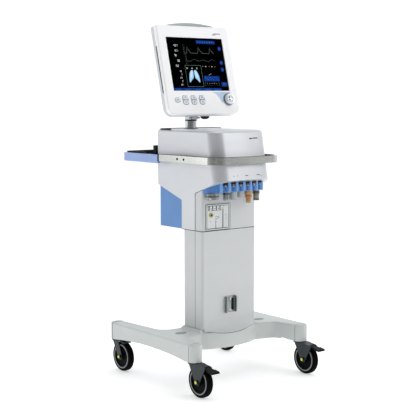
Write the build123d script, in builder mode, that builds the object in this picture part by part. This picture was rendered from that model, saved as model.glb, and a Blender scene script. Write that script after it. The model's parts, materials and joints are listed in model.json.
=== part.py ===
from build123d import *
import os
from math import cos, radians, sin

# A trolley ventilator in millimetres. +Z is up, the front faces -Y and +X is to the right
# seen from the front. The origin is on the floor, midway between the four caster swivels.

# --- driving dimensions -------------------------------------------------------------
half_track = 252.0
half_wheelbase = 232.0
wheel_radius = 56.0
trail = 34.0
swivel_play = 0.05
press_gap = 0.02
seam = 0.8
wall = 3.0

leg_bottom = 120.0
leg_top = 182.0
leg_half_width = 26.0
leg_arch = 14.0
cover_wall = 3.5
crossbar_front = -147.0
crossbar_rear = 4.0
pad_top = 191.0

column_half_width = 126.0
column_front = -120.0
column_rear = -10.0
column_joint = -78.0
column_bottom = 192.0
column_top = 548.0

housing_half_width = 126.0
housing_rear = 150.0
housing_top = 908.0
housing_split = 805.0
housing_lean = 0.1914
front_corner = 50.0
rear_corner = 9.0
front_bow = 8.0
underside_low = 683.0
underside_front_slope = 0.363
rear_box_low = 654.0
rear_box_slope = 0.34

rail_half_width = 160.0
rail_front = -228.0
rail_rear = 100.0
rail_height = 25.0
rail_thickness = 10.0
rail_centre = 804.5
handle_rear = 344.0
handle_centre = 799.0
handle_height = 32.0
handle_thickness = 12.0

post_radius = 21.0
post_y = 105.0
post_top = 942.0
tilt_y = 100.0
tilt_z = 964.0
tilt_pin_radius = 4.0
face_tilt = 14.1
screen_y = 63.0
screen_z = 1146.0
screen_width = 266.0
screen_height = 202.0
face_width = 338.0
face_low = -190.0
face_high = 146.0
face_proud = 3.0

port_y = -162.0
bracket_x = 2.0
bracket_z = 272.0
bracket_hole_radius = 2.6
rear_panel_half_width = 100.0
module_x = -55.0
module_z = 597.0
module_width = 113.0
module_height = 94.0
vent_low = 722.0
vent_high = 878.0
shoulder = 13.0
rear_box_depth = 139.0
inlet_z = 752.0
gas_inlet_x = 58.0
gas_inlet_radius = 8.0
valve_x = -104.0
valve_y = -148.0
valve_radius = 22.0
port_radius = 11.0
port_holes = [(-51.0, 11.0), (-17.0, 14.0), (16.0, 12.0), (54.0, 15.0), (92.0, 11.0)]
flute_pitch = 32.0
flute_radius = 8.0
alcove_radius = 9.5
alcove_low = 713.0
rail_corner = 52.0
rail_screw_y = (-17.0, -55.0)
rail_screw_radius = 2.6
grip_thickness = 9.0
spigot_radius = 15.0
lug_half_width = 10.0
bezel_depth = 14.0
rim_depth = 30.0
monitor_depth = 70.0
key_width = 24.0
key_height = 15.0
key_proud = 2.0
key_places = [
    (-122.0, -135.0), (-86.0, -126.5), (-85.0, -143.5), (-47.5, -126.5), (-46.5, -143.5),
    (-9.0, -126.5), (-8.0, -143.5),
]
knob_x = 118.0
knob_up = -134.0
fork_inside = 13.0
wheel_width = 23.0
rim_radius = 46.0


def save(piece, label):
    """Name a finished piece and write it as its own STEP file."""
    piece.label = label
    export_step(piece, f"parts/{label}.step")


def front_face_y(height):
    """Y of the housing's leaning front face at a height, ahead of its shallow bow."""
    return -181.0 - housing_lean * (893.0 - height)


def underside_front_z(y):
    """Height of the sloping underside ahead of the column."""
    return underside_low - underside_front_slope * (y + 77.0)


def underside_rear_z(y):
    """Height of the sloping edge above the blue rear box."""
    return rear_box_low + rear_box_slope * y


def apron_bottom_z(y):
    """Height of the connector panel's slightly slanted lower edge."""
    return 681.0 - 0.156 * (y + 120.0)


os.makedirs("parts", exist_ok=True)

# --- base: painted cover over a welded steel frame -----------------------------------
with BuildSketch() as base_plan:
    with BuildLine():
        Polyline(
            (130, -117), (208, -142), (leg_half_width * -1 + half_track, -half_wheelbase),
            (half_track + leg_half_width, -half_wheelbase),
            (half_track + leg_half_width, half_wheelbase),
            (half_track - leg_half_width, half_wheelbase),
            (209, crossbar_rear), (0, crossbar_rear),
        )
        mirror(about=Plane.YZ)
        ThreePointArc((-130, -117), (0, crossbar_front), (130, -117))
    make_face()
    bends = [(209, crossbar_rear, 45), (208, -142, 26), (130, -117, 14)]
    for bend_x, bend_y, bend_radius in bends:
        for side in (-1, 1):
            corner = base_plan.vertices().sort_by_distance((side * bend_x, bend_y, 0))[0]
            fillet(corner, bend_radius)

with BuildPart() as base_cover:
    with BuildSketch(Plane.XY.offset(leg_bottom)):
        add(base_plan.sketch)
    extrude(amount=leg_top - leg_bottom)
    top_rim = base_cover.faces().sort_by(Axis.Z)[-1].edges()
    open_ends = top_rim.filter_by(lambda e: abs(abs(e.center().Y) - half_wheelbase) < 1)
    fillet([edge for edge in top_rim if edge not in open_ends], 7)
    with BuildSketch(Plane.XY.offset(leg_top - 2)):
        with Locations((0, (column_front + column_rear) / 2 + 3.4)):
            Rectangle(2 * column_half_width + 22, column_rear - column_front + 6)
    extrude(amount=pad_top - leg_top + 2, taper=30)
    with BuildSketch(Plane.XY.offset(leg_bottom - 1)):
        offset(base_plan.sketch, amount=-cover_wall, kind=Kind.INTERSECTION)
        with GridLocations(2 * half_track, 2 * half_wheelbase, 2, 2):
            Rectangle(2 * (leg_half_width - cover_wall), 40)
    extrude(amount=leg_top - leg_bottom + 1 - cover_wall, mode=Mode.SUBTRACT)
    with BuildSketch(Plane.XY.offset(leg_top - 10)):
        with Locations((0, -65)):
            Rectangle(2 * 113, 2 * 44)
    extrude(amount=30, mode=Mode.SUBTRACT)
    for side in (-1, 1):
        with BuildSketch(Plane.YZ.offset(side * (half_track - 3))):
            with BuildLine():
                Line((-215, leg_bottom - 5), (215, leg_bottom - 5))
                Line((215, leg_bottom - 5), (215, leg_bottom))
                ThreePointArc((215, leg_bottom), (0, leg_bottom + leg_arch), (-215, leg_bottom))
                Line((-215, leg_bottom), (-215, leg_bottom - 5))
            make_face()
        extrude(amount=35, both=True, mode=Mode.SUBTRACT)
save(base_cover.part, "base_cover")

with BuildPart() as leg_end_caps:
    for side in (-1, 1):
        for end in (-1, 1):
            with BuildSketch(Plane.XY.offset(leg_bottom)):
                with Locations((side * half_track, end * half_wheelbase)):
                    Circle(leg_half_width + 0.4)
                with Locations((side * half_track, end * (half_wheelbase - 20 + seam))):
                    Rectangle(60, 40, mode=Mode.SUBTRACT)
            extrude(amount=leg_top - leg_bottom + 0.4)
    rims = leg_end_caps.faces().group_by(Axis.Z)[-1].edges()
    fillet(rims.filter_by(GeomType.CIRCLE), 6)
    for side in (-1, 1):
        for end in (-1, 1):
            with BuildSketch(Plane.XY.offset(leg_bottom - 1)):
                with Locations((side * half_track, end * half_wheelbase)):
                    Circle(leg_half_width - wall)
            extrude(amount=leg_top - leg_bottom + 1 - wall, mode=Mode.SUBTRACT)
save(leg_end_caps.part, "leg_end_caps")

frame_low = 140.0
frame_high = 174.0
tray_low = 735.0
mast_x = 104.0
mast_y = (-100.0, -30.0)
with BuildPart() as main_frame:
    with BuildSketch(Plane.XY.offset(frame_low)):
        with GridLocations(2 * half_track, 0, 2, 1):
            Rectangle(36, 2 * half_wheelbase)
        with Locations((0, -65)):
            Rectangle(2 * half_track, 70)
        with GridLocations(2 * half_track, 2 * half_wheelbase, 2, 2):
            Circle(16)
    extrude(amount=frame_high - frame_low)
    with BuildSketch(Plane.XY.offset(frame_low + wall)):
        with GridLocations(2 * half_track, 0, 2, 1):
            Rectangle(30, 2 * half_wheelbase - 50)
        with Locations((0, -65)):
            Rectangle(2 * half_track - 44, 64)
    extrude(amount=frame_high - frame_low - 2 * wall, mode=Mode.SUBTRACT)
    with BuildSketch(Plane.XY.offset(leg_bottom)):
        with GridLocations(2 * half_track, 2 * half_wheelbase, 2, 2):
            Circle(16)
    extrude(amount=frame_low - leg_bottom)
    with BuildSketch(Plane.XY.offset(leg_bottom)):
        with GridLocations(2 * half_track, 2 * half_wheelbase, 2, 2):
            Circle(6 + swivel_play)
    extrude(amount=48, mode=Mode.SUBTRACT)
    with BuildSketch(Plane.XY.offset(frame_high)):
        with Locations((0, -65)):
            with GridLocations(2 * mast_x, mast_y[1] - mast_y[0], 2, 2):
                Rectangle(14, 14)
    extrude(amount=tray_low - frame_high)
    with BuildSketch(Plane.XY.offset(330)):
        with Locations((0, -65)):
            Rectangle(2 * mast_x, 70)
    extrude(amount=wall)
    with BuildSketch(Plane.XY.offset(445)):
        with Locations((0, -65)):
            Rectangle(2 * mast_x, 70)
    extrude(amount=wall)
    with BuildSketch(Plane.XY.offset(tray_low)):
        with Locations((0, -15)):
            RectangleRounded(220, 306, 30)
    extrude(amount=wall)
save(main_frame.part, "main_frame")

# --- column ---------------------------------------------------------------------------
with BuildPart() as foot_flare:
    with BuildSketch(Plane.XY.offset(leg_top + 0.6)):
        with BuildLine():
            Polyline((-119, -121), (-119, -60), (119, -60), (119, -121))
            ThreePointArc((-119, -121), (0, crossbar_front + 2), (119, -121))
        make_face()
    with BuildSketch(Plane.XY.offset(234)):
        with BuildLine():
            Polyline((-119, -121), (-119, -60), (119, -60), (119, -121))
            ThreePointArc((-119, -121), (0, -92), (119, -121))
        make_face()
    loft()
    split(bisect_by=Plane.XZ.offset(-column_front), keep=Keep.TOP)

with BuildPart() as column_front_cover:
    with BuildSketch(Plane.XY.offset(column_bottom)):
        with Locations((0, (column_front + column_joint) / 2)):
            Rectangle(2 * column_half_width, column_joint - column_front)
    extrude(amount=column_top - seam - column_bottom)
    fillet(column_front_cover.edges().filter_by(Axis.Z).group_by(Axis.Y)[0], 9)
    with BuildSketch(Plane.XY.offset(column_bottom - 1)):
        with Locations((0, (column_front + column_joint) / 2 + wall)):
            RectangleRounded(2 * (column_half_width - wall), column_joint - column_front, 6)
        with Locations((0, column_joint)):
            Rectangle(2 * (column_half_width - wall), 20)
    extrude(amount=column_top, mode=Mode.SUBTRACT)
    add(foot_flare.part)
    with BuildSketch(Plane.XZ.offset(-column_front)):
        with Locations((bracket_x, bracket_z)):
            with GridLocations(0, 40, 1, 2):
                Circle(bracket_hole_radius)
    extrude(amount=-10, mode=Mode.SUBTRACT)
save(column_front_cover.part, "column_front_cover")

with BuildPart() as column_side_panels:
    with BuildSketch(Plane.XY.offset(column_bottom)):
        with Locations((0, (column_joint + seam + column_rear) / 2)):
            Rectangle(2 * column_half_width, column_rear - column_joint - seam)
    extrude(amount=column_top - seam - column_bottom)
    fillet(column_side_panels.edges().filter_by(Axis.Z).group_by(Axis.Y)[-1], 8)
    with BuildSketch(Plane.XY.offset(column_bottom - 1)):
        with Locations((0, column_joint)):
            Rectangle(2 * (column_half_width - wall), 2 * (column_rear - column_joint - wall))
        with Locations((0, column_rear)):
            Rectangle(2 * rear_panel_half_width, 20)
    extrude(amount=column_top, mode=Mode.SUBTRACT)
save(column_side_panels.part, "column_side_panels")

with BuildPart() as column_rear_panel:
    with BuildSketch(Plane.XZ.offset(-column_rear)):
        with Locations((0, (column_bottom + column_top) / 2)):
            Rectangle(2 * (rear_panel_half_width - seam), column_top - column_bottom - 2 * seam)
        with Locations((0, 380)):
            with GridLocations(60, 11, 3, 8):
                SlotOverall(48, 4, mode=Mode.SUBTRACT)
        with Locations((0, 500)):
            with GridLocations(60, 11, 3, 5):
                SlotOverall(48, 4, mode=Mode.SUBTRACT)
    extrude(amount=wall)
save(column_rear_panel.part, "column_rear_panel")

with BuildPart() as accessory_bracket:
    with BuildSketch(Plane.XZ.offset(-column_front)):
        with Locations((bracket_x, bracket_z)):
            Rectangle(48, 60)
            with Locations((0, 0)):
                with GridLocations(0, 40, 1, 2):
                    Circle(bracket_hole_radius, mode=Mode.SUBTRACT)
            with Locations((12, 0)):
                SlotOverall(40, 6, rotation=90, mode=Mode.SUBTRACT)
    extrude(amount=2.5)
    with BuildSketch(Plane.XZ.offset(-column_front + 2.5)):
        with Locations((bracket_x, bracket_z)):
            with GridLocations(45, 0, 2, 1):
                Rectangle(3, 60)
    extrude(amount=11.5)
    flange_tips = accessory_bracket.edges().filter_by(Axis.X).group_by(Axis.Y)[0]
    fillet(flange_tips, 5)
save(accessory_bracket.part, "accessory_bracket")

with BuildPart() as upper_front_cover:
    with BuildSketch(Plane.XY.offset(column_top + seam)):
        with Locations((0, (column_front + column_joint) / 2)):
            Rectangle(2 * (column_half_width - 0.8), column_joint - column_front)
    extrude(amount=170)
    fillet(upper_front_cover.edges().filter_by(Axis.Z).group_by(Axis.Y)[0], 9)
    with BuildSketch(Plane.XY.offset(column_top)):
        with Locations((0, column_joint)):
            Rectangle(2 * (column_half_width - wall - 0.8), 2 * (column_joint - column_front - wall))
    extrude(amount=180, mode=Mode.SUBTRACT)
    with BuildSketch(Plane.YZ):
        Polygon(
            (-130, column_top), (-70, column_top), (-70, underside_front_z(-70) - 0.4),
            (-130, underside_front_z(-130) - 0.4), align=None,
        )
    extrude(amount=140, both=True, mode=Mode.INTERSECT)
    with BuildSketch(Plane.XZ.offset(-column_front + 1)):
        with Locations((module_x, module_z)):
            Rectangle(module_width - 6, module_height - 6)
    extrude(amount=-wall - 2, mode=Mode.SUBTRACT)
save(upper_front_cover.part, "upper_front_cover")

with BuildPart() as module_plate:
    with BuildSketch(Plane.XZ.offset(-column_front)):
        with Locations((module_x, module_z)):
            RectangleRounded(module_width, module_height, 3)
    extrude(amount=2)
    with BuildSketch(Plane.XZ.offset(-column_front)):
        with Locations((module_x, module_z)):
            Rectangle(module_width - 7, module_height - 7)
    extrude(amount=-12)
    with BuildSketch(Plane.XZ.offset(-column_front + 2)):
        with Locations((module_x, module_z)):
            Rectangle(module_width - 10, module_height - 10)
    extrude(amount=-3, mode=Mode.SUBTRACT)
    with BuildSketch(Plane.XZ.offset(-column_front - 1)):
        with Locations((module_x + 38, module_z)):
            RectangleRounded(26, module_height - 14, 2)
    extrude(amount=2)
    with BuildSketch(Plane.XZ.offset(-column_front + 2)):
        with Locations((module_x - 8, module_z + 33)):
            with GridLocations(22, 0, 3, 1):
                RectangleRounded(15, 15, 2)
        with Locations((module_x - 30, module_z + 8)):
            Circle(9)
        with Locations((module_x + 37, module_z)):
            with GridLocations(0, 12, 1, 2):
                Circle(1.8)
    extrude(amount=-12, mode=Mode.SUBTRACT)
save(module_plate.part, "module_plate")


# --- housing: two white shells over a blue rear box -------------------------------------
def housing_plan(height, inset):
    """Plan of the housing at a height, moved inwards by inset, with its bowed front."""
    front = front_face_y(height) + inset
    flank = housing_half_width - inset
    back = housing_rear - inset
    with BuildSketch(Plane.XY.offset(height)) as plan:
        with BuildLine():
            Polyline((flank, front), (flank, back), (-flank, back), (-flank, front))
            ThreePointArc((-flank, front), (0, front - front_bow), (flank, front))
        make_face()
        fillet(plan.vertices().group_by(Axis.Y)[-1], rear_corner - inset)
        fillet(plan.vertices().group_by(Axis.Y)[0], front_corner - inset)
    return plan.sketch


lower_outside = [housing_plan(column_top - 20, 0), housing_plan(housing_split, 0)]
lower_inside = [housing_plan(column_top - 30, wall), housing_plan(housing_split + 1, wall)]
upper_outside = [housing_plan(housing_split + seam, 0), housing_plan(housing_top, 0)]
upper_inside = [housing_plan(housing_split, wall), housing_plan(housing_top - 4, wall)]

with BuildPart() as lower_cavity:
    loft(sections=lower_inside)
    with BuildSketch(Plane.YZ):
        Polygon(
            (-300, underside_front_z(-300) + wall), (-117, underside_front_z(-117) + wall),
            (-117, column_top - 20), (4, column_top - 20), (4, underside_rear_z(4) + wall),
            (200, underside_rear_z(200) + wall), (200, 830), (-300, 830), align=None,
        )
    extrude(amount=140, both=True, mode=Mode.INTERSECT)

with BuildPart() as housing_lower_shell:
    loft(sections=lower_outside)
    with BuildSketch(Plane.YZ):
        Polygon(
            (-300, underside_front_z(-300)), (column_joint + seam, underside_front_z(column_joint)),
            (column_joint + seam, column_top + seam), (0, column_top + seam),
            (0, underside_rear_z(0)), (200, underside_rear_z(200)), (200, 830), (-300, 830),
            align=None,
        )
    extrude(amount=140, both=True, mode=Mode.INTERSECT)
    add(lower_cavity.part, mode=Mode.SUBTRACT)
    with BuildSketch(Plane.XY.offset(660)):
        with Locations((0, -148)):
            Rectangle(196, 62)
    extrude(amount=70, mode=Mode.SUBTRACT)
    with BuildSketch(Plane.XZ.offset(-housing_rear - 5)):
        with Locations((0, (vent_low + vent_high) / 2)):
            Rectangle(2 * rear_panel_half_width + 2, vent_high - vent_low + 2)
    extrude(amount=12, mode=Mode.SUBTRACT)
save(housing_lower_shell.part, "housing_lower_shell")

with BuildPart() as housing_upper_shell:
    loft(sections=upper_outside)
    fillet(housing_upper_shell.faces().sort_by(Axis.Z)[-1].edges(), shoulder)
    loft(sections=upper_inside, mode=Mode.SUBTRACT)
    with BuildSketch(Plane.XZ.offset(-housing_rear - 5)):
        with Locations((0, (vent_low + vent_high) / 2)):
            Rectangle(2 * rear_panel_half_width + 2, vent_high - vent_low + 2)
    extrude(amount=12, mode=Mode.SUBTRACT)
    with BuildSketch(Plane.XY.offset(housing_top - 20)):
        with Locations((0, post_y)):
            Circle(post_radius + 0.6)
    extrude(amount=30, mode=Mode.SUBTRACT)
save(housing_upper_shell.part, "housing_upper_shell")

with BuildPart() as rear_lower_cover:
    with BuildSketch(Plane.XY.offset(column_top + seam)):
        with Locations((0, rear_box_depth / 2 + 0.6)):
            Rectangle(2 * (housing_half_width - 0.6), rear_box_depth)
    extrude(amount=160)
    fillet(rear_lower_cover.edges().filter_by(Axis.Z).group_by(Axis.Y)[-1], 14)
    with BuildSketch(Plane.XY.offset(column_top + seam + wall)):
        with Locations((0, rear_box_depth / 2 + 0.6)):
            RectangleRounded(2 * (housing_half_width - 0.6 - wall), rear_box_depth - 2 * wall, 11)
    extrude(amount=170, mode=Mode.SUBTRACT)
    with BuildSketch(Plane.YZ):
        Polygon(
            (-10, 500), (200, 500), (200, underside_rear_z(200) - 0.5),
            (-10, underside_rear_z(-10) - 0.5), align=None,
        )
    extrude(amount=140, both=True, mode=Mode.INTERSECT)
    with BuildSketch(Plane.XZ.offset(-rear_box_depth - 5)):
        with Locations((0, 610)):
            with GridLocations(58, 12, 3, 5):
                SlotOverall(46, 5)
    extrude(amount=12, mode=Mode.SUBTRACT)
save(rear_lower_cover.part, "rear_lower_cover")

with BuildPart() as rear_panel:
    with BuildSketch(Plane.XZ.offset(-housing_rear + 0.5)):
        with Locations((0, (vent_low + vent_high) / 2)):
            RectangleRounded(2 * rear_panel_half_width, vent_high - vent_low, 3)
        with Locations((0, 836)):
            with GridLocations(62, 11, 3, 6):
                SlotOverall(50, 5, mode=Mode.SUBTRACT)
        with Locations((gas_inlet_x, inlet_z), (-gas_inlet_x, inlet_z)):
            Circle(9.2, mode=Mode.SUBTRACT)
        with Locations((0, inlet_z)):
            Rectangle(48.6, 28.6, mode=Mode.SUBTRACT)
    extrude(amount=wall)
save(rear_panel.part, "rear_panel")

with BuildPart() as gas_inlets:
    with BuildSketch(Plane.XZ.offset(-housing_rear + 14)):
        with Locations((gas_inlet_x, inlet_z), (-gas_inlet_x, inlet_z)):
            Circle(9)
    extrude(amount=-14)
    with BuildSketch(Plane.XZ.offset(-housing_rear)):
        with Locations((gas_inlet_x, inlet_z), (-gas_inlet_x, inlet_z)):
            RegularPolygon(13, 6)
    extrude(amount=-6)
    with BuildSketch(Plane.XZ.offset(-housing_rear - 6)):
        with Locations((gas_inlet_x, inlet_z), (-gas_inlet_x, inlet_z)):
            Circle(gas_inlet_radius)
    extrude(amount=-20)
    with BuildSketch(Plane.XZ.offset(-housing_rear - 27)):
        with Locations((gas_inlet_x, inlet_z), (-gas_inlet_x, inlet_z)):
            Circle(3.5)
    extrude(amount=36, mode=Mode.SUBTRACT)
save(gas_inlets.part, "gas_inlets")

with BuildPart() as mains_inlet:
    with BuildSketch(Plane.XZ.offset(-housing_rear - 1)):
        with Locations((0, inlet_z)):
            Rectangle(48, 28)
    extrude(amount=20)
    with BuildSketch(Plane.XZ.offset(-housing_rear - 1)):
        with Locations((0, inlet_z)):
            RectangleRounded(25, 17, 3)
    extrude(amount=16, mode=Mode.SUBTRACT)
    with BuildSketch(Plane.XZ.offset(-housing_rear + 18)):
        with Locations((-7, inlet_z + 2), (0, inlet_z - 3), (7, inlet_z + 2)):
            Rectangle(2, 4)
    extrude(amount=-13)
save(mains_inlet.part, "mains_inlet")

# --- what the housing and the column hold -------------------------------------------------
tray_top = tray_low + wall
with BuildPart() as pneumatic_block:
    with BuildSketch(Plane.XY.offset(tray_top)):
        with Locations((-48, -115)):
            RectangleRounded(76, 92, 4)
    extrude(amount=46)
    with BuildSketch(Plane.XY.offset(tray_top + 46)):
        with Locations((-48, -115)):
            with GridLocations(36, 30, 2, 3):
                Circle(10)
    extrude(amount=22)
    with BuildSketch(Plane.XZ.offset(161)):
        with Locations((-48, tray_top + 23)):
            with GridLocations(34, 0, 2, 1):
                Circle(8)
    extrude(amount=14)
save(pneumatic_block.part, "pneumatic_block")

with BuildPart() as blower_unit:
    with BuildSketch(Plane.XY.offset(tray_top)):
        with Locations((47, -75)):
            Circle(42)
    extrude(amount=34)
    fillet(blower_unit.edges().group_by(Axis.Z)[-1], 8)
    with BuildSketch(Plane.XY.offset(tray_top)):
        with Locations((20, -112)):
            Rectangle(30, 34)
    extrude(amount=24)
    with BuildSketch(Plane.XY.offset(tray_top + 30)):
        with Locations((47, -75)):
            Circle(24)
    extrude(amount=36)
save(blower_unit.part, "blower_unit")

with BuildPart() as power_supply:
    with BuildSketch(Plane.XY.offset(445 + wall)):
        with Locations((0, -65)):
            Rectangle(180, 60)
    extrude(amount=88)
    chamfer(power_supply.edges().filter_by(Axis.Z), 3)
save(power_supply.part, "power_supply")

with BuildPart() as battery_pack:
    with BuildSketch(Plane.XY.offset(330 + wall)):
        with Locations((0, -65)):
            with GridLocations(92, 0, 2, 1):
                RectangleRounded(88, 62, 3)
    extrude(amount=94)
save(battery_pack.part, "battery_pack")

with BuildPart() as control_board:
    with BuildSketch(Plane.XY.offset(846)):
        with Locations((0, -35)):
            Rectangle(200, 190)
    extrude(amount=1.6)
    with BuildSketch(Plane.XY.offset(tray_top)):
        with Locations((-94, 50), (94, 50), (-94, -40), (96, -124)):
            Circle(4)
    extrude(amount=846 - tray_top)
    with BuildSketch(Plane.XY.offset(847.6)):
        with Locations((0, -35)):
            with GridLocations(60, 55, 3, 3):
                Rectangle(28, 28)
    extrude(amount=4)
save(control_board.part, "control_board")


# --- connector panel and the ports under it -------------------------------------------------
def panel_front_y(x):
    """Y of the connector panel's bowed front at a distance from the middle."""
    bow_radius = (96.0 ** 2 + 12.0 ** 2) / 24.0
    return -201.0 + bow_radius - (bow_radius ** 2 - x ** 2) ** 0.5


with BuildPart() as connector_panel:
    with BuildSketch(Plane.XY.offset(670)):
        with BuildLine():
            ThreePointArc((-124, -120.6), (-115, -160), (-96, -189))
            ThreePointArc((-96, -189), (0, -201), (96, -189))
            ThreePointArc((96, -189), (115, -160), (124, -120.6))
            Line((124, -120.6), (-124, -120.6))
        make_face()
    extrude(amount=80)
    with BuildSketch(Plane.YZ):
        Polygon(
            (-210, apron_bottom_z(-210)), (-100, apron_bottom_z(-100)),
            (-100, underside_front_z(-100) - 0.2), (-210, underside_front_z(-210) - 0.2),
            align=None,
        )
    extrude(amount=130, both=True, mode=Mode.INTERSECT)
    with BuildSketch(Plane.XY.offset(697)):
        with Locations((0, -151)):
            Rectangle(196, 56)
    extrude(amount=60, mode=Mode.SUBTRACT)
    with BuildSketch(Plane.XY.offset(670)):
        for x, radius in port_holes:
            with Locations((x, port_y)):
                Circle(radius + 0.3)
    extrude(amount=34, mode=Mode.SUBTRACT)
    with BuildSketch(Plane.XY.offset(670)):
        for index in range(6):
            x = flute_pitch * (index - 2.5)
            with Locations((x, panel_front_y(x) - 5)):
                Circle(flute_radius)
    extrude(amount=80, mode=Mode.SUBTRACT)
    with BuildSketch(Plane.XY.offset(alcove_low)):
        for index in range(6):
            x = flute_pitch * (index - 2.5)
            with Locations((x, panel_front_y(x) + 2)):
                Circle(alcove_radius)
    extrude(amount=40, mode=Mode.SUBTRACT)
save(connector_panel.part, "connector_panel")

with BuildPart() as expiratory_valve:
    with BuildSketch(Plane.XY.offset(663)):
        with Locations((valve_x, valve_y)):
            Circle(valve_radius)
    extrude(amount=30)
    fillet(expiratory_valve.faces().sort_by(Axis.Z)[0].edges(), 3)
    with BuildSketch(Plane.XY.offset(663)):
        with Locations((valve_x, valve_y)):
            Circle(11)
    extrude(amount=16, mode=Mode.SUBTRACT)
    with BuildSketch(Plane.YZ):
        Polygon(
            (-210, apron_bottom_z(-210) - 0.3), (-100, apron_bottom_z(-100) - 0.3),
            (-100, 600), (-210, 600), align=None,
        )
    extrude(amount=140, both=True, mode=Mode.INTERSECT)
save(expiratory_valve.part, "expiratory_valve")

with BuildPart() as breathing_ports:
    for x, low, stub in ((port_holes[0][0], 660, 24), (port_holes[4][0], 652, 30)):
        with BuildSketch(Plane.XY.offset(low)):
            with Locations((x, port_y)):
                Circle(port_radius)
                Circle(port_radius - 1.6, mode=Mode.SUBTRACT)
        extrude(amount=stub)
        with BuildSketch(Plane.XY.offset(low + stub)):
            with Locations((x, port_y)):
                Circle(port_radius + 0.2)
                Circle(port_radius - 1.6, mode=Mode.SUBTRACT)
        extrude(amount=702 - low - stub)
        with BuildSketch(Plane.XY.offset(low + 2)):
            with Locations((x, port_y)):
                Circle(6.5)
                Circle(5.2, mode=Mode.SUBTRACT)
        extrude(amount=698 - low)
        with BuildSketch(Plane.XY.offset(700)):
            with Locations((x, port_y)):
                Circle(port_radius)
                Circle(5.2, mode=Mode.SUBTRACT)
        extrude(amount=3)
save(breathing_ports.part, "breathing_ports")

with BuildPart() as sensor_ports:
    for index, low in ((1, 661), (2, 668)):
        x, radius = port_holes[index]
        with BuildSketch(Plane.XY.offset(low)):
            with Locations((x, port_y)):
                Circle(radius)
        extrude(amount=703 - low)
        with BuildSketch(Plane.XY.offset(low)):
            with Locations((x, port_y)):
                Circle(radius - 4)
        extrude(amount=10, mode=Mode.SUBTRACT)
save(sensor_ports.part, "sensor_ports")

with BuildPart() as gas_fitting:
    x, radius = port_holes[3]
    with BuildSketch(Plane.XY.offset(645)):
        with Locations((x, port_y)):
            Circle(9)
    extrude(amount=40)
    with BuildSketch(Plane.XY.offset(676)):
        with Locations((x, port_y)):
            Circle(radius)
    extrude(amount=27)
    with BuildSketch(Plane.XY.offset(644)):
        with Locations((x, port_y)):
            Circle(5)
    extrude(amount=40, mode=Mode.SUBTRACT)
save(gas_fitting.part, "gas_fitting")

# --- rail round the housing and push handle behind it ---------------------------------------
def rail_plan(half_width, front, corner):
    """Plan of the rail's outer or inner face, open towards the rear."""
    with BuildSketch(Plane.XY.offset(rail_centre - rail_height / 2)) as plan:
        with BuildLine():
            Polyline((half_width, front), (half_width, 300), (-half_width, 300), (-half_width, front))
            ThreePointArc((-half_width, front), (0, front - front_bow), (half_width, front))
        make_face()
        fillet(plan.vertices().group_by(Axis.Y)[0], corner)
    return plan.sketch


rail_outside = rail_plan(rail_half_width, rail_front, rail_corner)
rail_inside = rail_plan(
    rail_half_width - rail_thickness, rail_front + rail_thickness, rail_corner - rail_thickness
)
with BuildPart() as band_rail:
    with BuildSketch(Plane.XY.offset(rail_centre - rail_height / 2)):
        add(rail_outside)
        add(rail_inside, mode=Mode.SUBTRACT)
        with Locations((0, rail_rear + 200)):
            Rectangle(400, 400, mode=Mode.SUBTRACT)
    extrude(amount=rail_height)
    for side in (-1, 1):
        with BuildSketch(Plane.YZ.offset(side * (rail_half_width + 1))):
            with Locations(*[(y, rail_centre) for y in rail_screw_y]):
                Circle(rail_screw_radius)
        extrude(amount=-side * (rail_thickness + 2), mode=Mode.SUBTRACT)
save(band_rail.part, "band_rail")

with BuildPart() as rail_standoffs:
    gap_centre = (housing_half_width + rail_half_width - rail_thickness) / 2
    gap_width = rail_half_width - rail_thickness - housing_half_width
    with BuildSketch(Plane.XY.offset(rail_centre - 10)):
        with GridLocations(2 * gap_centre, 0, 2, 1):
            with Locations((0, rail_screw_y[0] / 2 + rail_screw_y[1] / 2)):
                Rectangle(gap_width, 66)
    extrude(amount=20)
    for side in (-1, 1):
        with BuildSketch(Plane.YZ.offset(side * (rail_half_width - rail_thickness + 1))):
            with Locations(*[(y, rail_centre) for y in rail_screw_y]):
                Circle(rail_screw_radius)
        extrude(amount=-side * 16, mode=Mode.SUBTRACT)
save(rail_standoffs.part, "rail_standoffs")



def handle_plan(inset):
    """Plan inside one face of the push handle, open towards the front."""
    half_width = rail_half_width - inset
    with BuildSketch() as plan:
        with Locations((0, (handle_rear - inset) / 2)):
            Rectangle(2 * half_width, handle_rear - inset)
        fillet(plan.vertices().group_by(Axis.Y)[-1], 40 - inset)
    return plan.sketch


handle_front = rail_rear + 2
handle_low = handle_centre - handle_height / 2
with BuildPart() as push_handle:
    with BuildSketch(Plane.XY.offset(handle_low)):
        add(handle_plan(0))
        add(handle_plan(handle_thickness), mode=Mode.SUBTRACT)
        Rectangle(400, 2 * handle_front, mode=Mode.SUBTRACT)
    extrude(amount=handle_height)
    fillet(push_handle.faces().filter_by(Axis.Z).edges().filter_by(GeomType.LINE), 2.5)
save(push_handle.part, "push_handle")

with BuildPart() as handle_grip:
    with BuildSketch(Plane.XY.offset(handle_low + 3)):
        add(handle_plan(handle_thickness + 0.3))
        add(handle_plan(handle_thickness + grip_thickness), mode=Mode.SUBTRACT)
        Rectangle(400, 2 * (housing_rear + 40), mode=Mode.SUBTRACT)
    extrude(amount=handle_height + 2)
save(handle_grip.part, "handle_grip")

with BuildPart() as handle_brackets:
    for side in (-1, 1):
        with BuildSketch(Plane.XY.offset(786)):
            with Locations((side * 114, housing_rear + 11.5)):
                RectangleRounded(28, 22, 3)
        extrude(amount=60)
        with BuildSketch(Plane.XY.offset(788)):
            with Locations((side * 137, housing_rear + 11.5)):
                Rectangle(22, 22)
        extrude(amount=22)
save(handle_brackets.part, "handle_brackets")

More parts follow.
